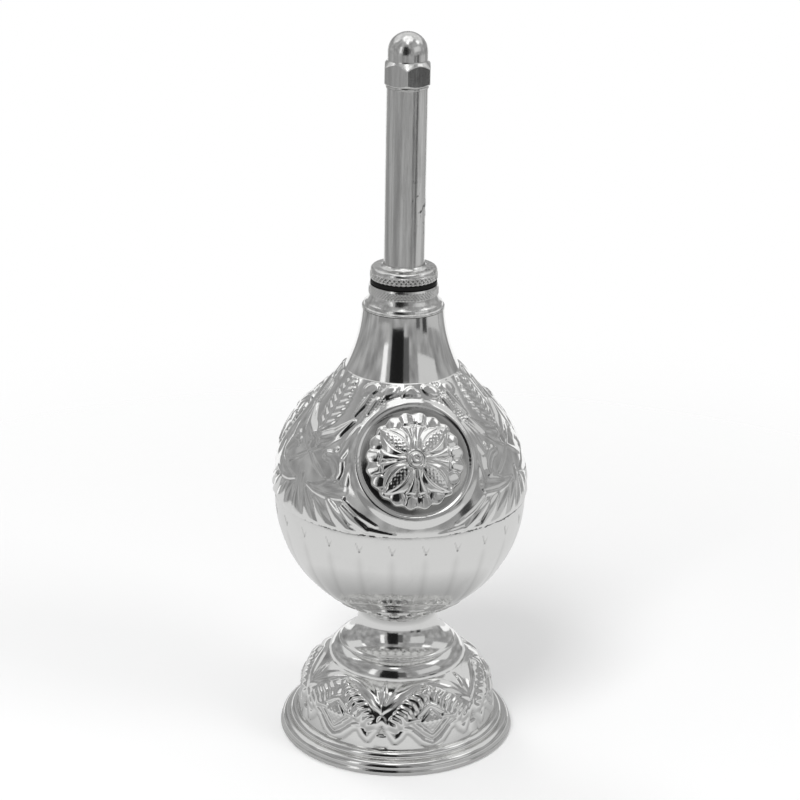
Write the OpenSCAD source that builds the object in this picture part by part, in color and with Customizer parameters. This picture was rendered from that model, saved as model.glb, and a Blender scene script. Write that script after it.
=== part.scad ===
// Standing holy-water sprinkler (aspergillum): a stamped and silver-plated bottle on a hollow foot,
// with a screw-in spout and a perforated cap nut. Millimetres, +Z up, origin at the centre of the base.

/* [Sheet metal] */
// Thickness of the stamped sheet
sheet_t = 0.8; // [0.6:0.1:1]
// Gap left for solder where one piece slips into another
solder_gap = 0.08; // [0.04:0.02:0.12]

/* [Foot] */
// Radius of the foot's rim
foot_r = 36; // [35:0.5:40]
// Height from the table to the seat of the bowl
foot_h = 42; // [40:0.5:46]
// Radius of the rolled edge
rim_edge_r = 1; // [0.8:0.1:1.4]
// Radius of the lower flange moulding
flange_low_r = 1.9; // [1.6:0.1:2.2]
// Radius of the upper flange moulding
flange_high_r = 1.6; // [1.4:0.1:1.8]
// Radius of the arc that makes the ornamented dome
dome_arc_r = 13; // [12.4:0.1:13.4]
// Height of the dome's top edge
dome_top_z = 25; // [24:0.25:26]
// Radius of the arc that makes the plain tier above the dome
tier_arc_r = 5.7; // [5.2:0.1:6]
// Height of the lip above the tier
lip_z = 29.5; // [29:0.1:30]
// Radius of the waist
waist_r = 12.1; // [11.5:0.1:13]
// Radius of the hollow curve at the waist
waist_arc_r = 8.5; // [8:0.1:9]

/* [Bowl] */
// Outer radius of the round lower bowl
bowl_r = 37.8; // [36:0.2:40]
// Radius of the flat seat under the bowl
seat_r = 12.2; // [11.6:0.1:13]
// Height of the seam above the middle of the lower bowl
seam_rise = 1.2; // [0.6:0.1:2]
// Height of the drawn-in lip of the lower bowl inside the upper one
lap_h = 2; // [1.5:0.1:3]
// Number of gadroons round the lower bowl
gadroons = 24; // [16:2:28]
// Depth of the valley between two gadroons
gadroon_depth = 0.45; // [0.3:0.05:0.55]
// How far the shoulder of the upper bowl stands out past the lower bowl
shoulder_step = 0.3; // [0.2:0.05:0.5]
// Height of the shoulder's middle above the seam
shoulder_rise = 1.3; // [0.8:0.1:1.6]
// Angle up the shoulder where it runs straight on to the neck
shoulder_straight_a = 42.5; // [41:0.5:44]
// Radius of the opening edge at the top of the shoulder
shoulder_top_r = 16.8; // [16.4:0.1:17.8]

/* [Ornament] */
// Turn of the front medallion away from the front
medallion_turn = 8; // [0:1:20]
// Angle up the shoulder of the medallions
medallion_a = 32.7; // [31:0.1:34]
// Outer radius of the medallion's frame
medallion_r = 18.5; // [17:0.25:19]
// Width of the frame
frame_w = 3; // [2.5:0.1:3.4]
// Length of a rosette petal
petal_len = 10.6; // [9.5:0.2:11]
// Height of the ornament above the sheet
relief_h = 0.9; // [0.6:0.1:1.1]
// Number of arched panels round the foot
foot_panels = 6; // [4:1:7]
// Turn of the foot's first panel away from the front
panel_turn = 21.8; // [0:0.2:30]

/* [Neck] */
// Height of the neck cone
neck_h = 18.4; // [16:0.2:20]
// Outer radius at the foot of the neck cone
neck_base_r = 16.4; // [16:0.1:16.6]
// Outer radius at the top of the neck cone
neck_top_r = 12.2; // [11.8:0.1:12.6]
// Radius of the hollow flare of the neck cone
neck_flare_r = 50; // [45:1:60]
// Height of the collar above the neck cone
collar_h = 7.3; // [6.8:0.1:8]
// Radius of the collar's knurled band
collar_r = 10.3; // [10:0.1:10.6]
// Height of the collar's knurled band
knurl_h = 2.3; // [1.8:0.1:2.6]
// Height of the plain edge above the knurl
collar_edge_h = 0.6; // [0.4:0.1:0.8]

/* [Spout] */
// Radius of the thread that holds the spout in the neck
spout_thread_r = 8; // [7.6:0.1:8.2]
// Pitch of that thread
spout_pitch = 1.5; // [1:0.25:2]
// Turns that free the spout
spout_turns = 4; // [3:1:5]
// Radius of the spout's flange
flange_r = 10; // [9.8:0.1:10.4]
// Height of the spout's flange
flange_h = 3.7; // [3.2:0.1:4.4]
// Radius of the rounding on the flange
flange_round = 1.2; // [0.8:0.1:1.5]
// Outer radius of the tube
tube_r = 6; // [5.8:0.1:6.2]
// Radius of the water way in the tube
tube_bore_r = 5.2; // [4.8:0.1:5.4]
// Radius of the water way through the tube's threaded end
end_bore_r = 4; // [3.6:0.1:4.2]
// Depth of the threaded end inside the tube
end_plug_h = 5; // [3:0.5:8]
// Length of tube that shows above the flange
tube_len = 53; // [40:1:70]
// Height of the squeezed seal ring
seal_h = 1.5; // [1.2:0.1:1.8]
// Running clearance in the threads and round the seal
thread_gap = 0.06; // [0.03:0.01:0.1]

/* [Cap] */
// Width of the cap's hexagon across its flats
cap_flats = 13; // [12.8:0.1:14]
// Height of the hexagon
hex_h = 7; // [6.4:0.1:8]
// Radius of the cap's dome
cap_dome_r = 6; // [5.8:0.1:6.3]
// Height of the plain wall between hexagon and dome
cap_wall_h = 2.3; // [1.8:0.1:3]
// Thickness of the washer under the cap
cap_washer_t = 0.8; // [0.5:0.1:1]
// Radius of the thread on the tube's end
cap_thread_r = 5; // [4.8:0.1:5.1]
// Pitch of that thread
cap_pitch = 1; // [0.75:0.25:1.25]
// Turns that free the cap
cap_turns = 6; // [5:1:6]
// Radius of the hole in the dome
nozzle_r = 0.75; // [0.5:0.05:1]

/* [Foot screw] */
// Radius of the screw that holds the foot to the bowl
screw_r = 3; // [2.5:0.25:3.5]
// Radius of the screw's head
screw_head_r = 5.5; // [5:0.25:6.5]
// Height of the screw's head
screw_head_h = 3.4; // [2.5:0.1:4]
// Radius of the washer under the foot's top
washer_r = 6.4; // [6:0.2:8]
// Thickness of that washer
washer_t = 1.6; // [1:0.2:2]
// Width of the nut across its flats
nut_flats = 10; // [9:0.5:11]
// Height of the nut
nut_h = 5; // [4:0.5:6]
// Thread that stands out below the nut
screw_tail = 2; // [1:0.5:3]

/* [Hidden] */
$fn = 96;
// Half a turn more than any outline is wide, used to cut with
far = 120;
// Small overshoot for clean cuts
cut = 1;

// Centres of the foot's arcs, as radius and height
dome_c = [16.6, 12.2];
tier_c = [waist_r + 3.5, dome_top_z - 1];
waist_c = [waist_r + waist_arc_r, foot_h - 4];
flange_low_c = [foot_r - flange_low_r - 0.4, 2.2];
flange_high_c = [flange_low_c[0] - 2.3, 4.6];
flare_r = flange_high_c[0] - 0.4;
lip_r = tier_c[0] + 2.4;
bell_r = lip_r - 0.5;

// Heights and centres of the bowl
shoulder_r = bowl_r + shoulder_step;
bowl_z = foot_h + sqrt(bowl_r * bowl_r - seat_r * seat_r);
seam_z = bowl_z + seam_rise;
shoulder_c = [0, seam_z + shoulder_rise];
straight_p = shoulder_c + shoulder_r * [cos(shoulder_straight_a), sin(shoulder_straight_a)];
shoulder_len = (straight_p[0] - shoulder_top_r) / sin(shoulder_straight_a);
shoulder_top_z = straight_p[1] + shoulder_len * cos(shoulder_straight_a);
shoulder_in_r = shoulder_top_r - sheet_t / cos(shoulder_straight_a);
lap_reach = max(shoulder_rise, lap_h - shoulder_rise);
lap_r = sqrt(pow(shoulder_r - sheet_t, 2) - lap_reach * lap_reach) - solder_gap;

// Heights of the neck, spout and cap
neck_z = shoulder_top_z;
collar_z = neck_z + neck_h;
collar_top_z = collar_z + collar_h;
knurl_top_z = collar_top_z - collar_edge_h;
seal_z = collar_top_z;
flange_z = seal_z + seal_h;
flange_top_z = flange_z + flange_h;
spigot_z = collar_top_z - spout_turns * spout_pitch - 0.2;
tube_top_z = flange_top_z + tube_len;
cap_z = tube_top_z + cap_washer_t;
hex_top_z = cap_z + hex_h;
cap_dome_z = hex_top_z + cap_wall_h;
thread_top_z = cap_z + cap_turns * cap_pitch + 0.2;
neck_flare_c = flare_centre([neck_base_r, neck_z], [neck_top_r, collar_z], neck_flare_r);

// Front of the object as an angle round +Z
front_a = -90;
medallions = 3;
petals = 8;
foot_top_t = sheet_t;
screw_gap = 0.2;
lip_edge_r = 0.35;

// Rosette: low boss, button and petals
boss_r = 13.3;
boss_h = 0.4;
button_r = 2;
petal_gap = 0.6;
petal_narrow = 1.9;
petal_broad = 2.4;

// Plain ring that carries the neck
neck_ring_h = 2.2;

// Leaf spray, as turns from its middle, angles up the shoulder, leans, lengths and half widths
leaf_up = 7.4;
leaf_len = 15;
leaf_w = 4.5;
lobe = [12.2, 41, -46, 9, 2];
scroll = [17, 28.5, 50, 8, 1.8];
crescent = [15.5, 16, 86, 12, 2.2];
side_leaf = [28, 5.2, 55, 11, 2];
flute_turn = 7;
flute_a = 8;
flute_drop = 1.8;
flute_lean = 16;
flute_len = 10;
flute_w = 2;

// Foot panels, in the same way
panel_low_z = flange_high_c[1] + 4;
panel_high_z = dome_top_z - 1;
tent_a = 50;
tent_lean = 31;
tent_len = 14;
tent_w = 1.4;
bud_a = 19;
bud_len = 10;
bud_w = 2.6;
wing_turn = 14;
wing_a = 32;
wing_lean = 58;
wing_len = 10;
wing_w = 2.3;
stem_a = 24;
stem_len = 8;
stem_w = 2.3;

// Centre of an arc of radius r that bends away from the axis between two points
function flare_centre(a, b, r) =
    let (m = (a + b) / 2, d = b - a, n = norm(d), s = sqrt(r * r - n * n / 4))
    m + s * [d[1], -d[0]] / n;

// Everything between two heights, right of the axis
module band(z0, z1, r = far) {
    translate([0, z0]) square([r, z1 - z0]);
}

// Disc in the outline plane, kept right of the axis
module arc_disc(c, r) {
    intersection() {
        translate(c) circle(r);
        translate([0, -far]) square([far, 4 * far]);
    }
}

// Almond of revolution along X, half width w
module almond(len, w) {
    arc_r = (len * len / 4 + w * w) / (2 * w);
    rotate([0, 90, 0])
        rotate_extrude()
            intersection() {
                translate([w - arc_r, 0]) circle(arc_r);
                translate([0, -len]) square([2 * w, 2 * len]);
            }
}

// Puts its children on the shoulder, with their Z along the outward normal and X down the bowl
module on_shoulder(turn, a) {
    rotate([0, 0, front_a + turn])
        translate([0, 0, shoulder_c[1]])
            rotate([0, 90 - a, 0])
                translate([0, 0, shoulder_r]) children();
}

// Puts its children on the foot's dome in the same way
module on_dome(turn, a) {
    rotate([0, 0, front_a + turn])
        translate([dome_c[0] + dome_arc_r * cos(a), 0, dome_c[1] + dome_arc_r * sin(a)])
            rotate([0, 90 - a, 0]) children();
}

// Outline of the foot, drawn in by the thickness of the sheet for the hollow inside
module foot_outline(inset) {
    difference() {
        union() {
            intersection() {
                arc_disc(dome_c, dome_arc_r - inset);
                band(flange_high_c[1], dome_top_z - inset);
            }
            intersection() {
                arc_disc(tier_c, tier_arc_r - inset);
                band(tier_c[1] - inset, lip_z);
            }
            polygon([[0, flange_high_c[1]], [flare_r - inset, flange_high_c[1]],
                [dome_c[0] + dome_arc_r - inset, dome_c[1]], [0, dome_c[1]]]);
            band(dome_c[1] - cut, lip_z, tier_c[0]);
            band(lip_z - sheet_t, foot_h - inset, bell_r - inset);
            arc_disc(flange_low_c, flange_low_r - inset);
            arc_disc(flange_high_c, flange_high_r - inset);
            band(-inset, flange_low_c[1], flange_low_c[0]);
            band(flange_low_c[1] - cut, flange_high_c[1] + cut, flange_high_c[0] - inset);
            polygon([[0, flange_high_c[1]], flange_high_c - [inset, 0], flange_low_c - [inset, 0],
                [0, flange_low_c[1]]]);
        }
        translate(waist_c) circle(waist_arc_r + inset);
    }
}

// Thin skin round the dome, from inside the sheet to h outside it, that ornament is cut from
module dome_skin(h) {
    rotate_extrude() intersection() {
        difference() {
            arc_disc(dome_c, dome_arc_r + h);
            arc_disc(dome_c, dome_arc_r - sheet_t / 2);
        }
        band(panel_low_z, panel_high_z);
    }
}

// Two straight ribs that meet like a tent over one panel of the foot
module panel_tent(turn) {
    for (side = [-1, 1]) {
        on_dome(turn + side * 90 / foot_panels, tent_a)
            rotate([0, 0, -side * tent_lean])
                cube([tent_w, tent_len, 4 * cut], center = true);
    }
}

// Bud, two wings and the stem beside one panel
module panel_leaves(turn) {
    on_dome(turn, bud_a) translate([0, 0, relief_h - bud_w]) almond(bud_len, bud_w);
    for (side = [-1, 1]) {
        on_dome(turn + side * wing_turn, wing_a)
            rotate([0, 0, side * wing_lean]) translate([0, 0, relief_h - wing_w]) almond(wing_len, wing_w);
    }
    on_dome(turn + 180 / foot_panels, stem_a) translate([0, 0, relief_h - stem_w]) almond(stem_len, stem_w);
}

module foot_shell() {
    color("silver") union() {
        rotate_extrude() difference() {
            union() {
                foot_outline(0);
                band(0, 2 * rim_edge_r, foot_r - rim_edge_r);
                translate([foot_r - rim_edge_r, rim_edge_r]) circle(rim_edge_r);
                translate([lip_r - lip_edge_r, lip_z]) circle(lip_edge_r);
                band(lip_z - lip_edge_r, lip_z + lip_edge_r, lip_r - lip_edge_r);
            }
            foot_outline(sheet_t);
            band(foot_h - 2 * foot_top_t, foot_h + cut, screw_r + screw_gap);
        }
        for (i = [0 : foot_panels - 1]) {
            intersection() {
                dome_skin(relief_h);
                panel_tent(panel_turn + i * 360 / foot_panels);
            }
            intersection() {
                dome_skin(2 * relief_h);
                panel_leaves(panel_turn + i * 360 / foot_panels);
            }
        }
    }
}

// Valley between two gadroons, a ring segment that follows the round bowl
module gadroon_valley(turn) {
    valley_r = 0.9;
    low_a = 58;
    high_a = 4;
    rotate([0, 0, turn])
        translate([0, 0, bowl_z])
            rotate([90, 0, 0])
                rotate([0, 0, -low_a])
                    rotate_extrude(angle = low_a - high_a)
                        translate([bowl_r + valley_r - gadroon_depth, 0]) circle(valley_r);
}

module bowl_lower() {
    color("silver") difference() {
        union() {
            rotate_extrude() intersection() {
                difference() {
                    arc_disc([0, bowl_z], bowl_r);
                    difference() {
                        arc_disc([0, bowl_z], bowl_r - sheet_t);
                        band(0, foot_h + sheet_t);
                    }
                }
                band(foot_h, seam_z);
            }
            rotate_extrude() translate([lap_r - sheet_t, bowl_z]) square([sheet_t, seam_rise + lap_h]);
        }
        for (i = [0 : gadroons - 1]) {
            gadroon_valley(front_a + (i + 0.5) * 360 / gadroons + 3);
        }
        translate([0, 0, foot_h - cut]) cylinder(h = 4 * cut, r = screw_r + screw_gap);
    }
}

// Solid outline of the shoulder, drawn in by inset
module shoulder_outline(inset) {
    along = [-sin(shoulder_straight_a), cos(shoulder_straight_a)];
    out = [cos(shoulder_straight_a), sin(shoulder_straight_a)];
    p0 = straight_p - inset * out;
    p1 = p0 + (shoulder_len + 2 * abs(inset)) * along;
    intersection() {
        arc_disc(shoulder_c, shoulder_r - inset);
        band(seam_z - cut, p0[1]);
    }
    polygon([[0, p0[1] - cut], [p0[0], p0[1] - cut], p0, p1, [0, p1[1]]]);
}

// Wall of the shoulder from inside the sheet to h outside it
module shoulder_wall(inside, h) {
    rotate_extrude() difference() {
        intersection() {
            shoulder_outline(-h);
            band(seam_z, shoulder_top_z);
        }
        shoulder_outline(inside);
    }
}

// Round frame of a medallion, cut along its own axis
module medallion_frame(turn) {
    on_shoulder(turn, medallion_a)
        translate([0, 0, -far / 10])
            difference() {
                cylinder(h = far / 5, r = medallion_r);
                translate([0, 0, -cut]) cylinder(h = far, r = medallion_r - frame_w);
            }
}

// Low boss under a rosette
module medallion_boss(turn) {
    on_shoulder(turn, medallion_a) translate([0, 0, -far / 10]) cylinder(h = far / 5, r = boss_r);
}

// Rosette of a medallion: petals laid on the bulge of the shoulder, and a button in the middle
module rosette(turn) {
    petal_mid = button_r + petal_gap + petal_len / 2;
    petal_lean = petal_mid / shoulder_r * 180 / PI;
    top = relief_h + boss_h;
    on_shoulder(turn, medallion_a) {
        for (i = [0 : petals - 1]) {
            w = i % 2 == 0 ? petal_narrow : petal_broad;
            rotate([0, 0, i * 360 / petals])
                translate([0, 0, -shoulder_r])
                    rotate([0, petal_lean, 0])
                        translate([0, 0, shoulder_r + top - w]) almond(petal_len, w);
        }
        translate([0, 0, 1.2 * top - button_r]) sphere(button_r);
    }
}

// Two leaves that mirror each other, given as turn, angle up, lean, length and half width
module leaf_pair(turn, leaf) {
    for (side = [-1, 1]) {
        on_shoulder(turn + side * leaf[0], leaf[1])
            rotate([0, 0, side * leaf[2]])
                translate([0, 0, relief_h - leaf[4]]) almond(leaf[3], leaf[4]);
    }
}

// Leaf spray between two medallions: standing leaf, pairs of smaller leaves and a fan of flutes below
module leaf_spray(turn) {
    on_shoulder(turn, shoulder_straight_a)
        translate([-leaf_up, 0, relief_h - leaf_w]) almond(leaf_len, leaf_w);
    leaf_pair(turn, lobe);
    leaf_pair(turn, scroll);
    leaf_pair(turn, crescent);
    leaf_pair(turn, side_leaf);
    for (k = [-2 : 2]) {
        on_shoulder(turn + k * flute_turn, flute_a - abs(k) * flute_drop)
            rotate([0, 0, k * flute_lean]) translate([0, 0, relief_h - flute_w]) almond(flute_len, flute_w);
    }
}

module bowl_upper() {
    color("silver") union() {
        shoulder_wall(sheet_t, 0);
        rotate_extrude() difference() {
            intersection() {
                shoulder_outline(-boss_h);
                band(shoulder_top_z - neck_ring_h, shoulder_top_z);
            }
            shoulder_outline(sheet_t / 2);
        }
        intersection() {
            shoulder_wall(sheet_t / 2, boss_h);
            for (i = [0 : medallions - 1]) {
                medallion_boss(medallion_turn + i * 360 / medallions);
            }
        }
        intersection() {
            shoulder_wall(sheet_t / 2, relief_h);
            for (i = [0 : medallions - 1]) {
                medallion_frame(medallion_turn + i * 360 / medallions);
            }
        }
        intersection() {
            shoulder_wall(sheet_t / 2, 2 * relief_h);
            for (i = [0 : medallions - 1]) {
                rosette(medallion_turn + i * 360 / medallions);
                leaf_spray(medallion_turn + (i + 0.5) * 360 / medallions);
            }
        }
    }
}

module neck_cone() {
    skirt_r = shoulder_in_r - 2 * solder_gap;
    color("silver") rotate_extrude() {
        intersection() {
            difference() {
                translate(neck_flare_c) circle(neck_flare_r + sheet_t);
                translate(neck_flare_c) circle(neck_flare_r);
            }
            band(neck_z, collar_z, neck_flare_c[0]);
        }
        translate([skirt_r - sheet_t, neck_z - 1.4]) square([sheet_t, 2.2]);
    }
}

module neck_collar() {
    bead_r = 0.45;
    shoulder_z = knurl_top_z - knurl_h;
    skirt_r = neck_top_r - sheet_t - 2 * solder_gap;
    arc_h = shoulder_z - collar_z - 2 * bead_r;
    arc_w = neck_top_r - collar_r;
    arc_r = (arc_h * arc_h + arc_w * arc_w) / (2 * arc_w);
    color("silver") rotate_extrude() difference() {
        union() {
            band(collar_z - 3, collar_z, skirt_r);
            band(collar_z, shoulder_z, collar_r - cut);
            band(collar_z, collar_z + 2 * bead_r, neck_top_r);
            translate([neck_top_r, collar_z + bead_r]) circle(bead_r);
            intersection() {
                arc_disc([neck_top_r - arc_r, collar_z + 2 * bead_r], arc_r);
                band(collar_z + 2 * bead_r, shoulder_z);
            }
            band(shoulder_z - cut, knurl_top_z, collar_r);
            polygon([[0, knurl_top_z], [collar_r, knurl_top_z], [collar_r - collar_edge_h / 2, collar_top_z],
                [0, collar_top_z]]);
        }
        band(0, 2 * far, spout_thread_r);
    }
}

module seal_ring() {
    seal_in_r = spout_thread_r + thread_gap;
    seal_out_r = flange_r - 0.15;
    color("black") rotate_extrude() {
        translate([seal_in_r, seal_z]) square([seal_out_r - seal_in_r - seal_h / 2, seal_h]);
        translate([seal_out_r - seal_h / 2, seal_z + seal_h / 2]) circle(seal_h / 2);
    }
}

module spout_base() {
    fillet_r = 0.9;
    color("silver") rotate_extrude() difference() {
        union() {
            band(spigot_z, flange_z + cut, spout_thread_r - thread_gap);
            band(flange_z + flange_round / 2, flange_top_z - flange_round, flange_r);
            band(flange_z, flange_top_z, flange_r - flange_round);
            translate([flange_r - flange_round, flange_top_z - flange_round]) circle(flange_round);
            translate([flange_r - flange_round, flange_z + flange_round]) circle(flange_round);
            difference() {
                band(flange_top_z - cut, flange_top_z + fillet_r, tube_r + solder_gap + fillet_r);
                translate([tube_r + solder_gap + fillet_r + 0.3, flange_top_z + fillet_r]) circle(fillet_r);
            }
        }
        band(0, 2 * far, tube_r + solder_gap);
    }
}

module spout_tube() {
    color("silver") rotate_extrude() difference() {
        union() {
            band(spigot_z, tube_top_z, tube_r);
            band(spigot_z, thread_top_z, cap_thread_r);
        }
        band(0, 2 * far, end_bore_r);
        band(0, tube_top_z - end_plug_h, tube_bore_r);
    }
}

module cap_washer() {
    color("silver") translate([0, 0, tube_top_z]) difference() {
        cylinder(h = cap_washer_t, r = cap_flats / 2 - 0.2);
        translate([0, 0, -cut]) cylinder(h = cap_washer_t + 2 * cut, r = cap_thread_r + 2 * thread_gap);
    }
}

module sprinkler_cap() {
    corner_r = cap_flats / 2 / cos(30);
    chamfer_h = 0.9;
    wall = 1.3;
    color("silver") difference() {
        union() {
            intersection() {
                translate([0, 0, cap_z]) rotate([0, 0, 30]) cylinder(h = hex_h, r = corner_r, $fn = 6);
                rotate_extrude() polygon([[0, cap_z], [cap_flats / 2 - 0.1, cap_z], [corner_r, cap_z + chamfer_h],
                    [corner_r, hex_top_z - chamfer_h], [cap_flats / 2 - 0.1, hex_top_z], [0, hex_top_z]]);
            }
            translate([0, 0, hex_top_z - cut]) cylinder(h = cap_wall_h + cut, r = cap_dome_r);
            translate([0, 0, cap_dome_z]) sphere(cap_dome_r);
        }
        translate([0, 0, cap_z - cut])
            cylinder(h = thread_top_z - cap_z + 2 * cut, r = cap_thread_r + thread_gap);
        translate([0, 0, thread_top_z]) cylinder(h = cap_dome_z - thread_top_z, r = cap_dome_r - wall);
        translate([0, 0, cap_dome_z]) sphere(cap_dome_r - wall);
        translate([0, 0, cap_dome_z]) cylinder(h = 2 * cap_dome_r, r = nozzle_r);
    }
}

module foot_screw() {
    head_z = foot_h + sheet_t;
    shank = sheet_t + foot_top_t + washer_t + nut_h + screw_tail;
    crown_r = (screw_head_r * screw_head_r + screw_head_h * screw_head_h) / (2 * screw_head_h);
    color("silver") {
        translate([0, 0, head_z - shank]) cylinder(h = shank + cut, r = screw_r);
        intersection() {
            translate([0, 0, head_z]) cylinder(h = screw_head_h, r = screw_head_r);
            translate([0, 0, head_z + screw_head_h - crown_r]) sphere(crown_r);
        }
    }
}

module foot_washer() {
    color("silver") translate([0, 0, foot_h - foot_top_t - washer_t]) difference() {
        cylinder(h = washer_t, r = washer_r);
        translate([0, 0, -cut]) cylinder(h = washer_t + 2 * cut, r = screw_r + screw_gap);
    }
}

module foot_nut() {
    color("gold") translate([0, 0, foot_h - foot_top_t - washer_t - nut_h]) difference() {
        cylinder(h = nut_h, r = nut_flats / 2 / cos(30), $fn = 6);
        translate([0, 0, -cut]) cylinder(h = nut_h + 2 * cut, r = screw_r + thread_gap);
    }
}

foot_shell();
bowl_lower();
bowl_upper();
neck_cone();
neck_collar();
seal_ring();
spout_base();
spout_tube();
cap_washer();
sprinkler_cap();
foot_screw();
foot_washer();
foot_nut();
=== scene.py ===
"""Looks for a standing holy-water sprinkler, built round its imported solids."""
import math

import bmesh
import bpy
import numpy as np
from mathutils import Matrix, Vector


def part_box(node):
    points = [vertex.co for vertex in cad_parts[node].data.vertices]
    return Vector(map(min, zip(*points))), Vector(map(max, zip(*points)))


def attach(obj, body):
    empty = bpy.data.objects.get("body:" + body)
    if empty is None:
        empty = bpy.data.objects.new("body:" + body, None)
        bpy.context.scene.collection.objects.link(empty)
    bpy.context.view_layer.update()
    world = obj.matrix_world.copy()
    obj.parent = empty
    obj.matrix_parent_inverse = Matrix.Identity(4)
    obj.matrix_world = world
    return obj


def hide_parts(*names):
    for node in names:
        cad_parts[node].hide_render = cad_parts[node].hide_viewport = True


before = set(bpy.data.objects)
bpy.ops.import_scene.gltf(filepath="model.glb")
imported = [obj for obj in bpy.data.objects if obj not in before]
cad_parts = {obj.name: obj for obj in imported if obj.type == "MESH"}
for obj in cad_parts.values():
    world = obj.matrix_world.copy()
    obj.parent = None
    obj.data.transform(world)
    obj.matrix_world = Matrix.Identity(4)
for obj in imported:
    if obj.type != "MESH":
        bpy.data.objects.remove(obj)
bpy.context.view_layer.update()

bl_info = {
    "name": "Holy-water sprinkler",
    "version": (1, 0, 0),
    "blender": (4, 5, 0),
    "location": "View3D > Sidebar > Sprinkler",
    "description": "Dresses the packed sprinkler with struck ornament and plated finishes",
    "category": "Object",
}

MM = 0.001

# Thickness of the stamped sheet, hole for the foot's screw and radius of the bowl's seat, in millimetres
SHEET = 0.8
SCREW_HOLE = 3.2
BOWL_SEAT = 12.2
# Half the width of the cap across its flats
HEX_HALF = 6.5
# Pitch of the spout's thread and of the cap's
SPOUT_PITCH = 1.5
CAP_PITCH = 1.0

# Heights that the pieces share, read from the solids, in millimetres
FOOT_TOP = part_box("foot_shell")[1].z / MM
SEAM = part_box("bowl_upper")[0].z / MM
SHOULDER_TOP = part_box("bowl_upper")[1].z / MM
NECK_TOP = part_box("neck_cone")[1].z / MM
COLLAR_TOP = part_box("neck_collar")[1].z / MM
SEAL_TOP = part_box("seal_ring")[1].z / MM
TUBE_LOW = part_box("spout_tube")[0].z / MM
THREAD_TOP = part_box("spout_tube")[1].z / MM
WASHER_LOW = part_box("cap_washer")[0].z / MM
CAP_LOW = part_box("sprinkler_cap")[0].z / MM


def length(name, text, default):
    """Length property shown in the user's units, given in millimetres."""
    return bpy.props.FloatProperty(
        name=name, description=text, default=default * MM, min=0.0, max=1.0,
        subtype="DISTANCE", unit="LENGTH", precision=5)


def share(name, text, default, high=1.0):
    """Plain number between nothing and a limit."""
    return bpy.props.FloatProperty(name=name, description=text, default=default, min=0.0, max=high)


def colour(name, text, default):
    """Colour property with three channels."""
    return bpy.props.FloatVectorProperty(
        name=name, description=text, default=default, size=3, min=0.0, max=1.0, subtype="COLOR")


class SprinklerSizes(bpy.types.PropertyGroup):
    """Sizes that the struck ornament is drawn with."""
    shoulder_radius: length("Shoulder", "Radius of the round shoulder", 38.1)
    shoulder_rise: length("Shoulder middle", "Height of the shoulder's middle above the seam", 1.3)
    bowl_radius: length("Bowl", "Radius of the lower bowl", 37.8)
    rosette_radius: length("Rosette", "Radius of the rosette inside the frame", 14.7)
    relief: share("Relief", "Strength of the struck ornament", 1.0, 2.0)
    gadroon_depth: length("Gadroon depth", "Depth of the valley between two gadroons", 0.16)
    knurl_depth: length("Knurl depth", "Depth of the knurled bands", 0.45)
    tube_radius: length("Tube", "Outer radius of the tube", 6.0)


class SprinklerFinish(bpy.types.PropertyGroup):
    """Colours and gloss of the finishes."""
    silver: colour("Silver plate", "Colour of the plated sheet", (0.88, 0.88, 0.87))
    nickel: colour("Nickel plate", "Colour of the turned pieces", (0.90, 0.90, 0.89))
    # Dull tone of clouded plate, also painted as shade deep in the ornament's recesses
    tarnish_and_shade: colour("Tarnish_and_shade", "Colour of the plate deep in the ornament", (0.42, 0.42, 0.41))
    solder: colour("Solder", "Colour of the specks along the seam", (0.10, 0.10, 0.10))
    rubber: colour("Rubber", "Colour of the seal", (0.004, 0.004, 0.004))
    silver_gloss: share("Silver roughness", "Roughness of the polished sheet", 0.07)
    nickel_gloss: share("Nickel roughness", "Roughness of the turned pieces", 0.12)


class SprinklerStage(bpy.types.PropertyGroup):
    """Floor, cards and lamps."""
    floor: colour("Floor", "Colour of the floor", (0.93, 0.93, 0.93))
    wall: share("Wall", "Brightness of the grey room that the metal mirrors", 0.33)
    table: share("Table", "Brightness of the table that the metal mirrors", 0.70)
    key_power: bpy.props.FloatProperty(
        name="Key lamp", description="Power of the large soft lamp", default=9.0, min=0.0, unit="POWER")
    fill_power: bpy.props.FloatProperty(
        name="Fill lamp", description="Power of each side lamp", default=3.0, min=0.0, unit="POWER")
    room: share("Room light", "Strength of the light from all round", 0.55, 2.0)


def arc(centre, radius, start, end, count):
    """Points on an arc in the outline plane, angles in degrees."""
    turns = np.radians(np.linspace(start, end, count))
    return [(centre[0] + radius * math.cos(t), centre[1] + radius * math.sin(t)) for t in turns]


def line(start, end, count):
    """Points on a straight stretch of an outline, without its last point."""
    steps = np.linspace(0.0, 1.0, count, endpoint=False)
    return [tuple(np.add(start, np.subtract(end, start) * t)) for t in steps]


def thread(radii, start, end, pitch):
    """Points of a thread between two heights, with two radii that take turns every half pitch."""
    heights = np.arange(start, end, math.copysign(pitch / 2, end - start))
    return [(radii[i % 2], z) for i, z in enumerate(heights)]


# Parts that a turned piece is spun in before they are joined
WEDGES = 12


def spin_piece(outline, steps):
    """Turns a closed outline of (radius, height) millimetres, one wedge first and then its copies."""
    shape = bmesh.new()
    verts = [shape.verts.new((r * MM, 0.0, z * MM)) for r, z in outline]
    edges = [shape.edges.new((a, b)) for a, b in zip(verts, verts[1:] + verts[:1])]
    return spin_wedges(shape, verts + edges, steps, 0.002 * MM)


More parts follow.
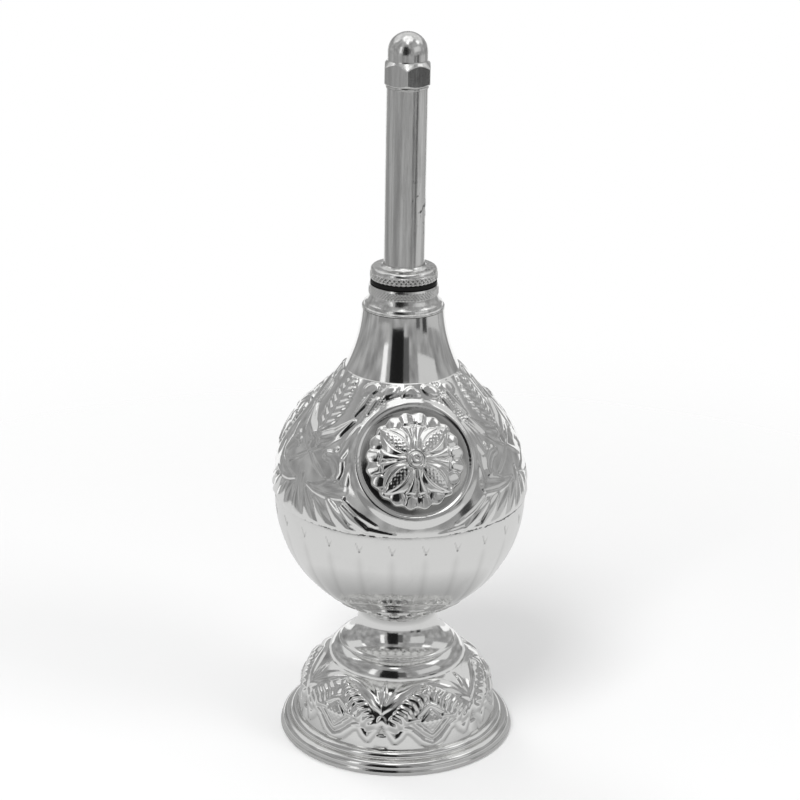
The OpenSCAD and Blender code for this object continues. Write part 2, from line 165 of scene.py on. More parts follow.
def spin_wedges(shape, geom, steps, join):
    """Spins verts and edges about Z and joins the wedges."""
    wedge = 2 * math.pi / WEDGES
    bmesh.ops.spin(
        shape, geom=geom, cent=(0, 0, 0), axis=(0, 0, 1), dvec=(0, 0, 0),
        angle=wedge, steps=steps // WEDGES, use_merge=False, use_duplicate=False)
    first = [*shape.verts, *shape.edges, *shape.faces]
    for k in range(1, WEDGES):
        copy = bmesh.ops.duplicate(shape, geom=first)["geom"]
        bmesh.ops.rotate(shape, cent=(0, 0, 0), matrix=Matrix.Rotation(wedge * k, 3, "Z"),
                         verts=[v for v in copy if isinstance(v, bmesh.types.BMVert)])
    bmesh.ops.remove_doubles(shape, verts=shape.verts, dist=join)
    bmesh.ops.recalc_face_normals(shape, faces=shape.faces)
    return shape


def finish_piece(name, shape, body, material, nodes, crease):
    """Makes the object, smooths it up to the crease angle and ties it to its body."""
    for face in shape.faces:
        face.smooth = True
    for edge in shape.edges:
        if edge.calc_face_angle(0.0) > math.radians(crease):
            edge.smooth = False
    mesh = bpy.data.meshes.new(name)
    shape.to_mesh(mesh)
    shape.free()
    mesh.materials.append(material)
    piece = bpy.data.objects.new(name, mesh)
    bpy.context.scene.collection.objects.link(piece)
    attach(piece, body)
    if nodes:
        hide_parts(*nodes)


def places(shape):
    """Places of the vertices in millimetres."""
    return np.array([v.co for v in shape.verts]) / MM


def move(shape, spots, relief=None):
    """Puts the vertices at new places, and keeps the relief's height for the shade painted into the recesses.
    """
    if relief is not None:
        layer = shape.verts.layers.float.new("relief")
    for i, vert in enumerate(shape.verts):
        vert.co = Vector(spots[i]) * MM
        if relief is not None:
            vert[layer] = relief[i]


def hump(gap, power=2, least=0.0):
    """Round top: 1 at its middle, falling to nothing at a gap of 1."""
    return np.clip(1.0 - gap ** power, least, 1.0)


def stroke(spots, points, widths, height, power=1.0):
    """Rounded ridge along a bent line, with half widths along it, and each place's gap and way along."""
    points = np.asarray(points, float)
    runs = np.concatenate([[0.0], np.cumsum(np.linalg.norm(np.diff(points, axis=0), axis=1))])
    near = np.full(len(spots), 1e9)
    at = np.zeros(len(spots))
    for i, (a, b) in enumerate(zip(points[:-1], points[1:])):
        along = b - a
        t = np.clip(((spots - a) @ along) / max(along @ along, 1e-9), 0.0, 1.0)
        gap = np.linalg.norm(spots - a - t[:, None] * along, axis=1)
        closer = gap < near
        near = np.where(closer, gap, near)
        at = np.where(closer, runs[i] + t * (runs[i + 1] - runs[i]), at)
    wide = np.interp(at / runs[-1], np.linspace(0.0, 1.0, len(widths)), widths)
    return height * hump(near / wide) ** power, near, at


def step_between(low, high, value):
    """Smooth rise from 0 to 1 between two values."""
    t = np.clip((value - low) / (high - low), 0.0, 1.0)
    return t * t * (3.0 - 2.0 * t)


def ripple(phase):
    """Wave between 0 and 1, once for each whole number."""
    return 0.5 + 0.5 * np.cos(2.0 * np.pi * phase)


def turn_of(spots):
    """Turn of places off the front, in degrees."""
    return np.degrees(np.arctan2(spots[:, 1], spots[:, 0])) + 90.0


def radius_of(spots):
    """Distance of places from the axis."""
    return np.hypot(spots[:, 0], spots[:, 1])


def drawn_in(spots, scale):
    """Places moved towards the axis by a share of their radius."""
    return spots * np.stack([scale, scale, np.ones(len(scale))], 1)


def outward(turn, tilt):
    """Direction out from the axis at a turn about it, leaning up by a tilt, both in radians."""
    return np.stack([np.cos(turn) * np.cos(tilt), np.sin(turn) * np.cos(tilt), np.sin(tilt)], -1)


def nearest(turn, pitch):
    """Turn from the nearest of evenly spaced marks, in degrees."""
    return (turn + pitch / 2) % pitch - pitch / 2


# Drawn heights of the ornament are measured from this far below the foot
DRAWN_LIFT = 1.7


def rolled_out(wall, points):
    """Places of points, given as turn in degrees and drawn height, on a wall that is rolled out flat."""
    turns, heights = np.array(points, float).T
    z = heights - DRAWN_LIFT
    return np.stack([np.radians(turns) * wall.radius_at(z), wall.height_along(z)], 1)


# Struck ornament of the shoulder

MEDALLIONS = ("rosette_front", "rosette_right", "rosette_left")
MEDALLION_PITCH = 360.0 / len(MEDALLIONS)
# Turn of the first medallion off the front, and how far each leans back, in degrees
MEDALLION_TURN = 8.0
MEDALLION_TILT = 32.7


class Shoulder:
    """The shoulder's form: a round part that runs straight on to the neck."""
    straight = math.radians(42.5)

    def __init__(self, sizes):
        self.radius = sizes.shoulder_radius / MM
        self.middle = SEAM + sizes.shoulder_rise / MM

    def height_along(self, z):
        """Way up the wall from the round part's middle."""
        up = (z - self.middle) / self.radius
        round_top = math.sin(self.straight)
        low = self.radius * np.arcsin(np.clip(up, -1.0, round_top))
        high = np.maximum(z - self.middle - self.radius * round_top, 0.0) / math.cos(self.straight)
        return low + high

    def radius_at(self, z):
        """Outer radius of the plain wall."""
        up = z - self.middle
        top = self.radius * math.sin(self.straight)
        low = np.sqrt(np.maximum(self.radius ** 2 - np.minimum(up, top) ** 2, 0.0))
        return low - np.maximum(up - top, 0.0) * math.tan(self.straight)

    def gap(self, spots):
        """Distance outside the plain wall, and the wall's outward direction."""
        r = radius_of(spots)
        up = spots[:, 2] - self.middle
        tilt = np.minimum(np.arctan2(up, r), self.straight)
        out = r * np.cos(tilt) + up * np.sin(tilt) - self.radius
        return out, outward(np.arctan2(spots[:, 1], spots[:, 0]), tilt)

    def medallion_axes(self, k):
        """Middle of one medallion and its right, up and outward directions."""
        turn = math.radians(MEDALLION_TURN + MEDALLION_PITCH * k - 90.0)
        out = outward(turn, math.radians(MEDALLION_TILT))
        right = np.array([-math.sin(turn), math.cos(turn), 0.0])
        up = np.cross(out, right)
        middle = np.array([0.0, 0.0, self.middle]) + self.radius * out
        return middle, right, up, out


# Height of the medallion's frame at distances from its middle
FRAME_SECTION = ((0.0, -0.75), (13.4, -0.75), (14.3, -0.62), (15.2, -0.42), (16.0, -0.15), (16.5, 0.42),
                 (16.9, 0.58), (17.8, 0.42), (18.6, 0.18), (19.2, 0.0))
FRAME_REACH = FRAME_SECTION[-1][0]
# Height that the shoulder swells by under the neck, and where that starts and ends below its top
SWELL = 0.5
SWELL_SPAN = (14.0, 1.0)

# Strokes of the leaf spray: turn from its middle in degrees and drawn height, half widths, height of relief
SPRAY = (
    (((4, 104.6), (12, 106.2), (20, 110.0)), (2.3, 2.2, 0.8), 0.7),
    (((1, 100.4), (8, 102.8), (15.5, 106.0)), (0.5, 0.8, 0.6), 0.28),
    (((1, 100.0), (6, 98.0), (14, 95.0)), (0.7, 0.8, 0.5), 0.2),
    (((12.5, 101.0), (16, 100.9), (19.5, 99.6), (21.5, 97.2), (20.6, 95.8)), (1.8, 2.1, 1.5), 0.45),
    (((19, 111.3), (22, 114.0), (26, 117.0)), (0.6, 1.2, 0.7), 0.4),
    (((20, 101.4), (23, 105.0), (25.5, 108.8)), (1.4, 2.2, 1.4), 0.3),
    (((4.5, 91.8), (10, 90.6), (17, 90.1), (26, 90.7)), (0.5, 0.8, 0.7), 0.35),
    (((4.5, 91.8), (12, 92.6), (16, 94.1), (21, 95.2)), (0.4, 0.6, 0.6), 0.25),
    (((6, 91.6), (16, 92.0), (25, 92.7)), (0.3, 1.9, 2.2), 0.25),
    (((0, 94.0), (0, 80.4)), (0.6, 2.0, 2.8), 0.3),
    (((4, 90.2), (10, 80.4)), (0.6, 2.0, 2.8), 0.3),
    (((10, 89.2), (20, 80.6)), (0.6, 2.2, 2.8), 0.34),
    (((18, 89.4), (24, 85.0), (30, 81.0)), (0.9, 2.3, 1.8), 0.5),
    (((25, 88.4), (31, 85.2), (38, 82.0)), (0.9, 2.0, 1.0), 0.5),
    (((25.5, 90.4), (33, 86.8), (42, 83.8)), (0.4, 0.8, 0.4), 0.35),
    (((30, 83.4), (40, 82.0), (50, 81.2)), (0.4, 1.1, 0.4), 0.35),
    (((16, 102.6), (17, 103.0)), (0.9, 0.9), 0.45),
    (((8, 104.0), (4, 102.2)), (0.7, 1.2), 0.25),
    (((28, 112.5), (31.5, 115.6)), (0.9, 1.1), 0.35),
    (((26.5, 99.5), (25.5, 94.5)), (1.0, 1.6), 0.25),
)
# Half width of the standing leaf in degrees, at drawn heights
LEAF = ((104.5, 0.4), (106.0, 3.0), (108.0, 8.0), (111.0, 11.2), (114.0, 12.2), (117.0, 11.2), (119.5, 8.0),
        (120.5, 6.0))
# Distance between the leaf's feathers, and how steeply they rise from its midrib
FEATHER_PITCH = 2.3
FEATHER_LEAN = 0.7
# Lobes under the neck: turns from the spray's middle in degrees, drawn height, and half width and height
NECK_LOBES = (24.0, 42.0, 60.0)
LOBE_HEIGHT = 118.0
LOBE_HALF = (2.4, 2.3)
# Distance between the punched dots of the ground
DOT_PITCH = 0.9


def spray_relief(shoulder, turn, z):
    """Relief of a leaf spray, with turn in degrees from its middle."""
    side = np.abs(turn)
    drawn = z + DRAWN_LIFT
    spots = rolled_out(shoulder, np.stack([side, drawn], 1))
    relief = np.zeros(len(side))
    for points, widths, height in SPRAY:
        relief = np.maximum(relief, stroke(spots, rolled_out(shoulder, points), widths, height)[0])
    # Standing leaf with feathered blades and a sunk midrib
    feather = ripple((spots[:, 1] - FEATHER_LEAN * spots[:, 0]) / FEATHER_PITCH)
    edge = side / (np.interp(drawn, *zip(*LEAF)) * (0.95 + 0.05 * feather))
    blade = np.where(drawn > LEAF[0][0], 1.0 - step_between(0.6, 1.0, edge), 0.0)
    comb = 0.2 * feather * step_between(0.05, 0.25, edge)
    midrib = 0.14 * hump(spots[:, 0] / 0.45)
    relief = np.maximum(relief, blade * (0.1 + 0.34 * hump(edge) + comb - midrib))
    for lobe in NECK_LOBES:
        gap = (spots - rolled_out(shoulder, ((lobe, LOBE_HEIGHT),))) / LOBE_HALF
        relief = np.maximum(relief, 0.4 * hump(np.hypot(*gap.T), 5))
    # Punched ground between leaf and frame
    ground = step_between(108.0, 110.5, drawn) * step_between(17.0, 20.0, side) * (side < 40.0)
    dots = ripple(spots[:, 0] / DOT_PITCH) * ripple(spots[:, 1] / DOT_PITCH)
    return np.where(relief < 0.08, relief - 0.16 * ground * dots, relief)


def shoulder_relief(shoulder, spots):
    """Relief of the whole shoulder at places on its plain wall."""
    z = spots[:, 2]
    from_spray = (turn_of(spots) - MEDALLION_TURN) % MEDALLION_PITCH - MEDALLION_PITCH / 2
    relief = spray_relief(shoulder, from_spray, z)
    swell = SWELL * step_between(SHOULDER_TOP - SWELL_SPAN[0], SHOULDER_TOP - SWELL_SPAN[1], z)
    for k in range(len(MEDALLIONS)):
        middle, right, up, out = shoulder.medallion_axes(k)
        local = spots - middle
        away = np.hypot(local @ right, local @ up)
        facing = local @ out > -0.5 * shoulder.radius
        swell = np.where(facing, swell * step_between(FRAME_REACH - 1.2, FRAME_REACH + 2.0, away), swell)
        section = np.interp(away, *zip(*FRAME_SECTION))
        keep = step_between(FRAME_REACH - 1.2, FRAME_REACH + 0.4, away)
        relief = np.where(facing & (away < FRAME_REACH + 0.4), section + relief * keep, relief)
    fade = step_between(SEAM, SEAM + 1.2, z) * (1.0 - step_between(SHOULDER_TOP - 0.9, SHOULDER_TOP, z))
    return relief * fade + swell


# Radius that the rosette's lines below are drawn with
ROSETTE_DRAWN = 13.5
# Half width of a palmette at distances from the middle, and height across that half from its split
PALMETTE = ((2.0, 0.5), (4.0, 0.9), (6.5, 1.8), (8.5, 3.0), (10.5, 4.6), (13.4, 5.6))
PALMETTE_SECTION = ((0.0, 0.05), (0.1, 0.26), (0.3, 0.5), (0.55, 0.58), (0.8, 0.44), (1.0, 0.1))
# Lobes at a palmette's end: places along and across it, and radii
PALMETTE_LOBES = (((11.2, 1.9), 2.1), ((10.1, 5.3), 2.0))
# Sunk wedge in a palmette's middle, from its point to its broad end
WEDGE_SPAN = (7.4, 9.8)
# Where an almond petal starts, its length and half width, and the distance between its seeds
PETAL_START = 2.2
PETAL_LENGTH = 9.8
PETAL_HALF = 3.6
SEED_PITCH = 1.4
# Height of the button at distances from its middle, and its radius
BUTTON_SECTION = ((0.0, 0.75), (0.35, 0.85), (0.6, 1.15), (1.1, 1.2), (1.6, 0.9), (1.9, 0.45), (2.3, 0.6),
                  (2.7, 0.5), (3.0, 0.3))
BUTTON_RADIUS = 2.6
# Degrees between the scallops of the rosette's edge
SCALLOP_PITCH = 18.0


def rosette_relief(a, b):
    """Relief of the rosette at places right and up of its middle, in the drawn size."""
    away = np.hypot(a, b)
    turn = np.degrees(np.arctan2(b, a))

    def beside(off):
        """Places along a leaf's middle line and across it."""
        return away * np.cos(np.radians(off)), away * np.sin(np.radians(off))

    # Palmettes on the axes: fluted trumpets that end in lobes
    x, y = beside(np.abs(nearest(turn, 90.0)))
    relief = np.interp(y / np.interp(x, *zip(*PALMETTE)), *zip(*PALMETTE_SECTION))
    stem = 0.55 * hump(y / 1.3) * (1.0 - step_between(4.5, 7.0, x))
    relief = np.where(x < 7.0, np.maximum(relief, stem), relief)
    for spot, size in PALMETTE_LOBES:
        lobe = np.hypot(x - spot[0], y - spot[1]) / size
        groove = hump((lobe - 1.0) / 0.25)
        relief = np.maximum(relief - 0.25 * groove, 0.12 + 0.3 * hump(lobe, 3, -0.5))
    wedge = (x > WEDGE_SPAN[0]) & (x < WEDGE_SPAN[1]) & (y < (x - WEDGE_SPAN[0]) * 0.38)
    relief = np.where(wedge, -0.25, relief)
    # Almond petals on the diagonals: a broad rim round a bed of seeds
    x, skew = beside(turn % 90.0 - 45.0)
    y = np.abs(skew)
    along = np.clip((x - PETAL_START) / PETAL_LENGTH, 0.0, 1.0)
    across = y / (PETAL_HALF * np.sin(np.pi * along ** 0.9) ** 0.75 + 1e-6)
    seeds = ripple((x + skew) / SEED_PITCH) * ripple((x - skew) / SEED_PITCH) * (across < 0.38)
    petal = 0.24 + 0.8 * hump(across) - 0.24 * hump((across - 0.5) / 0.11) - 0.1 * seeds
    inside = (x > PETAL_START) & (x < PETAL_START + PETAL_LENGTH) & (across < 1.0)
    tip = np.hypot(x - 12.3, y / 1.4)
    relief = np.where(inside, np.maximum(relief, petal), relief)
    relief = np.maximum(relief, 0.25 + 0.45 * hump(tip, 2, -0.5))
    # Button with its collar and pit
    relief = np.where(away < BUTTON_RADIUS, np.interp(away, *zip(*BUTTON_SECTION)), relief)
    scallop = 12.8 + 0.6 * ripple((turn - SCALLOP_PITCH / 2) / SCALLOP_PITCH)
    edge = 1.0 - step_between(scallop - 0.5, scallop + 0.2, away)
    return (relief + 0.5 * hump(away / ROSETTE_DRAWN)) * edge - 0.7 * (1.0 - edge)


# Struck ornament of the foot

# Panels round the foot, degrees between them and turn of the first off the front
FOOT_PANELS = 6
PANEL_PITCH = 360.0 / FOOT_PANELS
PANEL_TURN = 21.8
# Strokes of a panel: turn from its middle in degrees and drawn height, half widths, height of relief
PANEL = (
    (((30, 19.7), (25, 21.4), (19, 23.6), (11, 25.1), (0, 25.9)), (1.1, 1.9, 1.6), 0.4),
    (((11.5, 16.6), (6, 13.8), (0, 11.6)), (0.7, 1.0, 1.0), 0.4),
    (((9, 18.0), (4, 20.0), (0, 20.9)), (0.6, 0.9, 0.9), 0.45),
    (((8.5, 17.2), (13.5, 16.7)), (1.2, 0.8), 0.55),
    (((30, 25.6), (30, 22.2), (30, 18.8)), (0.4, 1.2, 0.4), 0.45),
    (((30, 11.4), (30, 9.0)), (2.0, 2.2), 0.35),
)
# Wavy ribbon along the foot of the panels, and its half widths
RIBBON = ((30, 17.0), (26, 13.6), (22, 10.7), (19, 11.9), (16, 14.1), (12, 13.3), (6, 10.2), (0, 8.6))
RIBBON_HALF = (1.25, 1.3, 1.2, 1.3, 1.3)
# Middle line of a ribbed wing, its half widths and the distance between its ribs
WING = ((23, 15.2), (17.5, 18.0), (11, 20.8), (5, 22.8))
WING_HALF = (2.5, 3.1, 2.5)
RIB_PITCH = 2.2
# Bead over the panel's middle and its radius
BEAD = (0, 24.0)
BEAD_RADIUS = 2.2
# Hatched bud under it, its half width and height, its height from middle to edge, and its hatching
BUD = (0, 16.2)
BUD_HALF = (4.0, 4.2)
BUD_SECTION = ((0.0, 0.8), (0.8, 0.5), (0.9, 0.3), (1.0, 0.0))
HATCH_PITCH = 1.5
# Drawn heights of the pit where two panels meet
PIT_SPAN = (12.2, 15.4)


class FootDome:
    """The foot's ornamented wall: a flare below and an arc above."""
    centre = (16.6, 12.2)
    radius = 13.0
    flare = ((30.735, 6.055), (29.6, 12.2))
    # Length of the flare for each millimetre of its height, and heights that the panels lie between
    flare_stretch = 1.02
    span = (6.1, 24.32)

    def height_along(self, z):
        """Way up the wall from the top of the flare."""
        up = np.clip((z - self.centre[1]) / self.radius, 0.0, 1.0)
        return self.radius * np.arcsin(up) + np.minimum(z - self.centre[1], 0.0) * self.flare_stretch

    def radius_at(self, z):
        """Outer radius of the plain wall."""
        up = np.clip(z - self.centre[1], 0.0, self.radius)
        bow = self.centre[0] + np.sqrt(np.maximum(self.radius ** 2 - up ** 2, 0.0))
        slope = (self.flare[0][0] - self.flare[1][0]) / (self.flare[1][1] - self.flare[0][1])
        return bow + np.maximum(self.centre[1] - z, 0.0) * slope

    def holds(self, spots):
        """Which places lie on the plain wall."""
        z = spots[:, 2]
        near = np.abs(radius_of(spots) - self.radius_at(z)) < 0.15
        return near & (z > self.span[0]) & (z < self.span[1])

    def away(self, spots):
        """Outward direction of the plain wall."""
        up = np.clip((spots[:, 2] - self.centre[1]) / self.radius, 0.0, 1.0)
        return outward(np.arctan2(spots[:, 1], spots[:, 0]), np.arcsin(up))


def panel_relief(dome, spots):
    """Relief of the foot's tented panels at places on its plain wall."""
    z = spots[:, 2]
    drawn = z + DRAWN_LIFT
    off = nearest(turn_of(spots) - PANEL_TURN, PANEL_PITCH)
    side = np.abs(off)
    local = rolled_out(dome, np.stack([side, drawn], 1))
    relief = np.zeros(len(side))
    for points, widths, height in PANEL:
        relief = np.maximum(relief, stroke(local, rolled_out(dome, points), widths, height)[0])
    relief = np.maximum(relief, stroke(local, rolled_out(dome, RIBBON), RIBBON_HALF, 0.34, 0.45)[0])
    # Ribbed wings
    wing, near, at = stroke(local, rolled_out(dome, WING), WING_HALF, 0.6, 0.6)
    relief = np.maximum(relief, wing * (0.5 + 0.6 * ripple(at / RIB_PITCH + near / 6.0)))
    gap = np.linalg.norm(local - rolled_out(dome, (BEAD,)), axis=1)
    relief = np.maximum(relief, 0.85 * hump(gap / BEAD_RADIUS))
    # Hatched bud
    from_bud = np.abs(local - rolled_out(dome, (BUD,))) / BUD_HALF
    spread = from_bud.sum(axis=1)
    skew = np.sign(off) * local[:, 0]
    hatch = ripple((local[:, 1] + skew) / HATCH_PITCH) * ripple((local[:, 1] - skew) / HATCH_PITCH)
    bud = np.interp(spread, *zip(*BUD_SECTION)) - 0.12 * hatch * (spread < 0.75)
    relief = np.maximum(relief, bud)
    # Pit where two panels meet
    pit = (side > 27.6) & (drawn > PIT_SPAN[0]) & (drawn < PIT_SPAN[1])
    pit = pit & (PANEL_PITCH / 2 - side < (PIT_SPAN[1] - drawn) * 0.75)
    relief = np.where(pit, -0.35, relief)
    fade = step_between(6.2, 7.2, z) * (1.0 - step_between(23.6, 24.3, z))
    return relief * fade


# Finishes

WEAR_GROUP = "PlateWear"
# Most that clouding dulls the plate, and most shade that is painted into the recesses between two heights of
# the relief
STAIN_SHARE = 0.12
RECESS_SHADE_SHARE = 0.75
RECESS_SHADE_SPAN = (-0.05, -0.45)
# Width of the soft edge of a dark speck, on the scale of its noise
SPECK_EDGE = 0.05
# Height of the finest bumps of metal and of rubber
PLATE_BUMP = 0.4 * MM
RUBBER_BUMP = 0.2 * MM
# Lighter tone in the grain of the rubber
RUBBER_GRAIN = (0.012, 0.012, 0.012, 1.0)


def set_inputs(tree, node, inputs):
    """Links sockets to a node's inputs, and sets the rest to plain values."""
    for place, value in inputs.items():
        if isinstance(value, bpy.types.NodeSocket):
            tree.links.new(value, node.inputs[place])
        else:
            node.inputs[place].default_value = value


def add_node(tree, kind, inputs, **settings):
    """New node with its settings made and its inputs linked or set."""
    node = tree.nodes.new(kind)
    for name, value in settings.items():
        setattr(node, name, value)
    set_inputs(tree, node, inputs)
    return node


def reckon(tree, operation, *values):
    """Result of a sum."""
    return add_node(tree, "ShaderNodeMath", dict(enumerate(values)), operation=operation).outputs[0]


def noise(tree, spot, scale, detail, roughness=0.5):
    """Noise at a place."""
    inputs = {"Vector": spot, "Scale": scale, "Detail": detail, "Roughness": roughness}
    return add_node(tree, "ShaderNodeTexNoise", inputs).outputs["Fac"]


def remap(tree, value, span, ends=(0.0, 1.0), kind="LINEAR"):
    """Value moved from one span to another and held at its ends."""
    inputs = {"Value": value, "From Min": span[0], "From Max": span[1], "To Min": ends[0], "To Max": ends[1]}
    return add_node(tree, "ShaderNodeMapRange", inputs, interpolation_type=kind).outputs["Result"]


def blend(tree, amount, first, second):
    """Colour between two others."""
    return add_node(tree, "ShaderNodeMix", {0: amount, 6: first, 7: second}, data_type="RGBA").outputs[2]


def bumpy(tree, height, strength, distance):
    """Normal of a surface with small bumps."""
    inputs = {"Strength": strength, "Distance": distance, "Height": height}
    return add_node(tree, "ShaderNodeBump", inputs).outputs["Normal"]


def own_spot(tree):
    """Place on the surface in the object's frame."""
    return tree.nodes.new("ShaderNodeTexCoord").outputs["Object"]


def plate_wear():
    """Node group for plated metal: slow bumps of the sheet, hair scratches and cloudy gloss."""
    group = bpy.data.node_groups.new(WEAR_GROUP, "ShaderNodeTree")
    for name, default in (("Gloss", 0.08), ("Cloud", 0.05), ("Scratch", 0.3), ("Stretch", (1.0, 1.0, 1.0))):
        kind = "NodeSocketFloat" if isinstance(default, float) else "NodeSocketVector"
        group.interface.new_socket(name=name, in_out="INPUT", socket_type=kind).default_value = default
    for name in ("Roughness", "Height", "Stain", "Streak"):
        group.interface.new_socket(name=name, in_out="OUTPUT", socket_type="NodeSocketFloat")
    given = group.nodes.new("NodeGroupInput").outputs
    spot = own_spot(group)
    factors = {0: spot, 1: given["Stretch"]}
    drawn = add_node(group, "ShaderNodeVectorMath", factors, operation="MULTIPLY").outputs[0]
    cloud = noise(group, spot, 140.0, 5.0, 0.6)
    scratches = reckon(group, "MULTIPLY", noise(group, drawn, 900.0, 3.0, 0.7), given["Scratch"])
    add_node(group, "NodeGroupOutput", {
        "Roughness": reckon(group, "MULTIPLY_ADD", cloud, given["Cloud"], given["Gloss"]),
        "Height": reckon(group, "ADD", scratches, noise(group, spot, 45.0, 2.0, 0.4)),
        "Stain": remap(group, cloud, (0.55, 0.8)),
        "Streak": remap(group, noise(group, drawn, 520.0, 4.0, 0.65), (0.42, 0.68))})
    return group


def new_material(name):
    """Empty material with its shader and output."""
    material = bpy.data.materials.new(name)
    material.use_nodes = True
    tree = material.node_tree
    tree.nodes.clear()
    shader = tree.nodes.new("ShaderNodeBsdfPrincipled")
    add_node(tree, "ShaderNodeOutputMaterial", {"Surface": shader.outputs["BSDF"]})
    return material, tree, shader


def speck_mask(tree, level, reach, least):
    """Dark specks that gather about one height, where their noise is above the least value."""
    spot = own_spot(tree)
    height = add_node(tree, "ShaderNodeSeparateXYZ", {"Vector": spot}).outputs["Z"]
    apart = reckon(tree, "ABSOLUTE", reckon(tree, "SUBTRACT", height, level))
    near = remap(tree, apart, (0.0, reach), (1.0, 0.0))
    patchy = reckon(tree, "MULTIPLY", noise(tree, spot, 520.0, 3.0, 0.75), noise(tree, spot, 60.0, 1.0))
    return remap(tree, reckon(tree, "MULTIPLY", patchy, near), (least, least + SPECK_EDGE))


def plated(name, tone, dull, gloss, cloud, scratch, bump,
           stretch=(1, 1, 1), streaks=0.0, recess_shade=False, specks=None):
    """Plated metal: bright, with a dull tone where it has clouded, and painted shade in the recesses of the
    relief.
    """
    if name in bpy.data.materials:
        return bpy.data.materials[name]
    material, tree, shader = new_material(name)
    group = bpy.data.node_groups.get(WEAR_GROUP) or plate_wear()
    values = {"Gloss": gloss, "Cloud": cloud, "Scratch": scratch, "Stretch": stretch}
    wear = add_node(tree, "ShaderNodeGroup", values, node_tree=group)
    mask = reckon(tree, "MULTIPLY", wear.outputs["Stain"], STAIN_SHARE)
    if streaks:
        mask = reckon(tree, "MULTIPLY_ADD", wear.outputs["Streak"], streaks, mask)
    # Painted shade: the colour goes towards the dull tone where the relief sinks below the plain wall
    if recess_shade:
        height = add_node(tree, "ShaderNodeAttribute", {}, attribute_name="relief").outputs["Fac"]
        mask = reckon(tree, "MAXIMUM", remap(tree, height, RECESS_SHADE_SPAN, (0.0, RECESS_SHADE_SHARE)), mask)
    shade = blend(tree, mask, (*tone, 1.0), (*dull, 1.0))
    if specks:
        dark = (*bpy.context.scene.sprinkler_finish.solder, 1.0)
        shade = blend(tree, speck_mask(tree, *specks), shade, dark)
    set_inputs(tree, shader, {
        "Metallic": 1.0, "Base Color": shade, "Roughness": wear.outputs["Roughness"],
        "Normal": bumpy(tree, wear.outputs["Height"], bump, PLATE_BUMP)})
    return material


def silver():
    """Polished silver plate of the plain sheet."""
    finish = bpy.context.scene.sprinkler_finish
    return plated("silver_plate_polished", finish.silver, finish.tarnish_and_shade, finish.silver_gloss,
                  cloud=0.05, scratch=0.15, bump=0.12)


def struck_silver():
    """Silver plate of the ornament, with painted shade in its recesses and specks of solder along the seam.
    """
    finish = bpy.context.scene.sprinkler_finish
    return plated("silver_plate_struck", finish.silver, finish.tarnish_and_shade, finish.silver_gloss,
                  cloud=0.08, scratch=0.2, bump=0.12, recess_shade=True, specks=(SEAM * MM, 1.3 * MM, 0.205))


def nickel():
    """Nickel plate of the turned pieces, with marks along their length, small pits and painted shade in the
    valleys of the knurls.
    """
    finish = bpy.context.scene.sprinkler_finish
    tube_middle = (TUBE_LOW + WASHER_LOW) / 2
    return plated("nickel_plate_turned", finish.nickel, finish.tarnish_and_shade, finish.nickel_gloss,
                  cloud=0.12, scratch=0.35, bump=0.25, stretch=(1, 1, 0.07), streaks=0.45, recess_shade=True,
                  specks=(tube_middle * MM, 70.0 * MM, 0.29))


def rubber():
    """Black rubber of the seal."""
    material, tree, shader = new_material("seal_rubber_black")
    grain = noise(tree, own_spot(tree), 700.0, 4.0)
    set_inputs(tree, shader, {
        "Specular IOR Level": 0.2,
        "Base Color": blend(tree, grain, (*bpy.context.scene.sprinkler_finish.rubber, 1.0), RUBBER_GRAIN),
        "Roughness": remap(tree, grain, (0.0, 1.0), (0.45, 0.65)),
        "Normal": bumpy(tree, grain, 0.2, RUBBER_BUMP)})
    return material


def fastener(name, tone, dull):
    """Plain metal of the hidden fasteners."""
    return plated(name, tone, dull, gloss=0.3, cloud=0.25, scratch=0.5, bump=0.3)


# Pieces


class SPRINKLER_OT_stamped_foot(bpy.types.Operator):
    """Stamped foot with its mouldings and tented panels."""
    bl_idname = "sprinkler.stamped_foot"
    bl_label = "Stamped foot"

    def execute(self, context):
        dome = FootDome()
        tier, tier_radius = (15.6, 24.0), 5.7
        waist, waist_radius = (20.6, 38.0), 8.5
        # Rolled rim and two flange mouldings
        outline = [(33.7, 0.0), (34.4, 0.0)] + arc((35.0, 1.0), 1.0, -90, 55.7, 9)
        outline += arc((33.7, 2.2), 1.9, -11.3, 117.1, 12)[1:] + arc((31.4, 4.6), 1.6, -26.3, 114.6, 11)[1:]
        # Dome, plain tier with its bead, and waist
        outline += line(*dome.flare, 22)[1:] + arc(dome.centre, dome.radius, 0.0, 68.9, 62)
        outline += arc(tier, tier_radius, 3.3, 64.0, 11)[1:] + arc((17.65, 29.5), 0.35, -60, 90, 6)
        outline += arc(waist, waist_radius, 248.6, 151.9, 22)
        # Inside of the sheet, down again
        outline += [(SCREW_HOLE, FOOT_TOP), (SCREW_HOLE, FOOT_TOP - SHEET)]
        outline += arc(waist, waist_radius + SHEET, 159.9, 245.2, 10)
        outline += arc(tier, tier_radius - SHEET, 72.0, -2.8, 6)
        outline += arc(dome.centre, dome.radius - SHEET, 71.0, 0.0, 10)
        outline += [(29.95, 6.0), (31.2, 4.4), (32.9, 2.4)]
        shape = spin_piece(outline, 540)
        spots = places(shape)
        strength = context.scene.sprinkler_sizes.relief
        relief = np.where(dome.holds(spots), panel_relief(dome, spots), 0.0) * strength
        move(shape, spots + relief[:, None] * dome.away(spots), relief)
        finish_piece("stamped_foot", shape, "vessel", struck_silver(), ["foot_shell"], 60.0)
        return {"FINISHED"}


# Degrees between two gadroons, and turn of the valleys off the front
GADROON_PITCH = 15.0
GADROON_TURN = -3.0
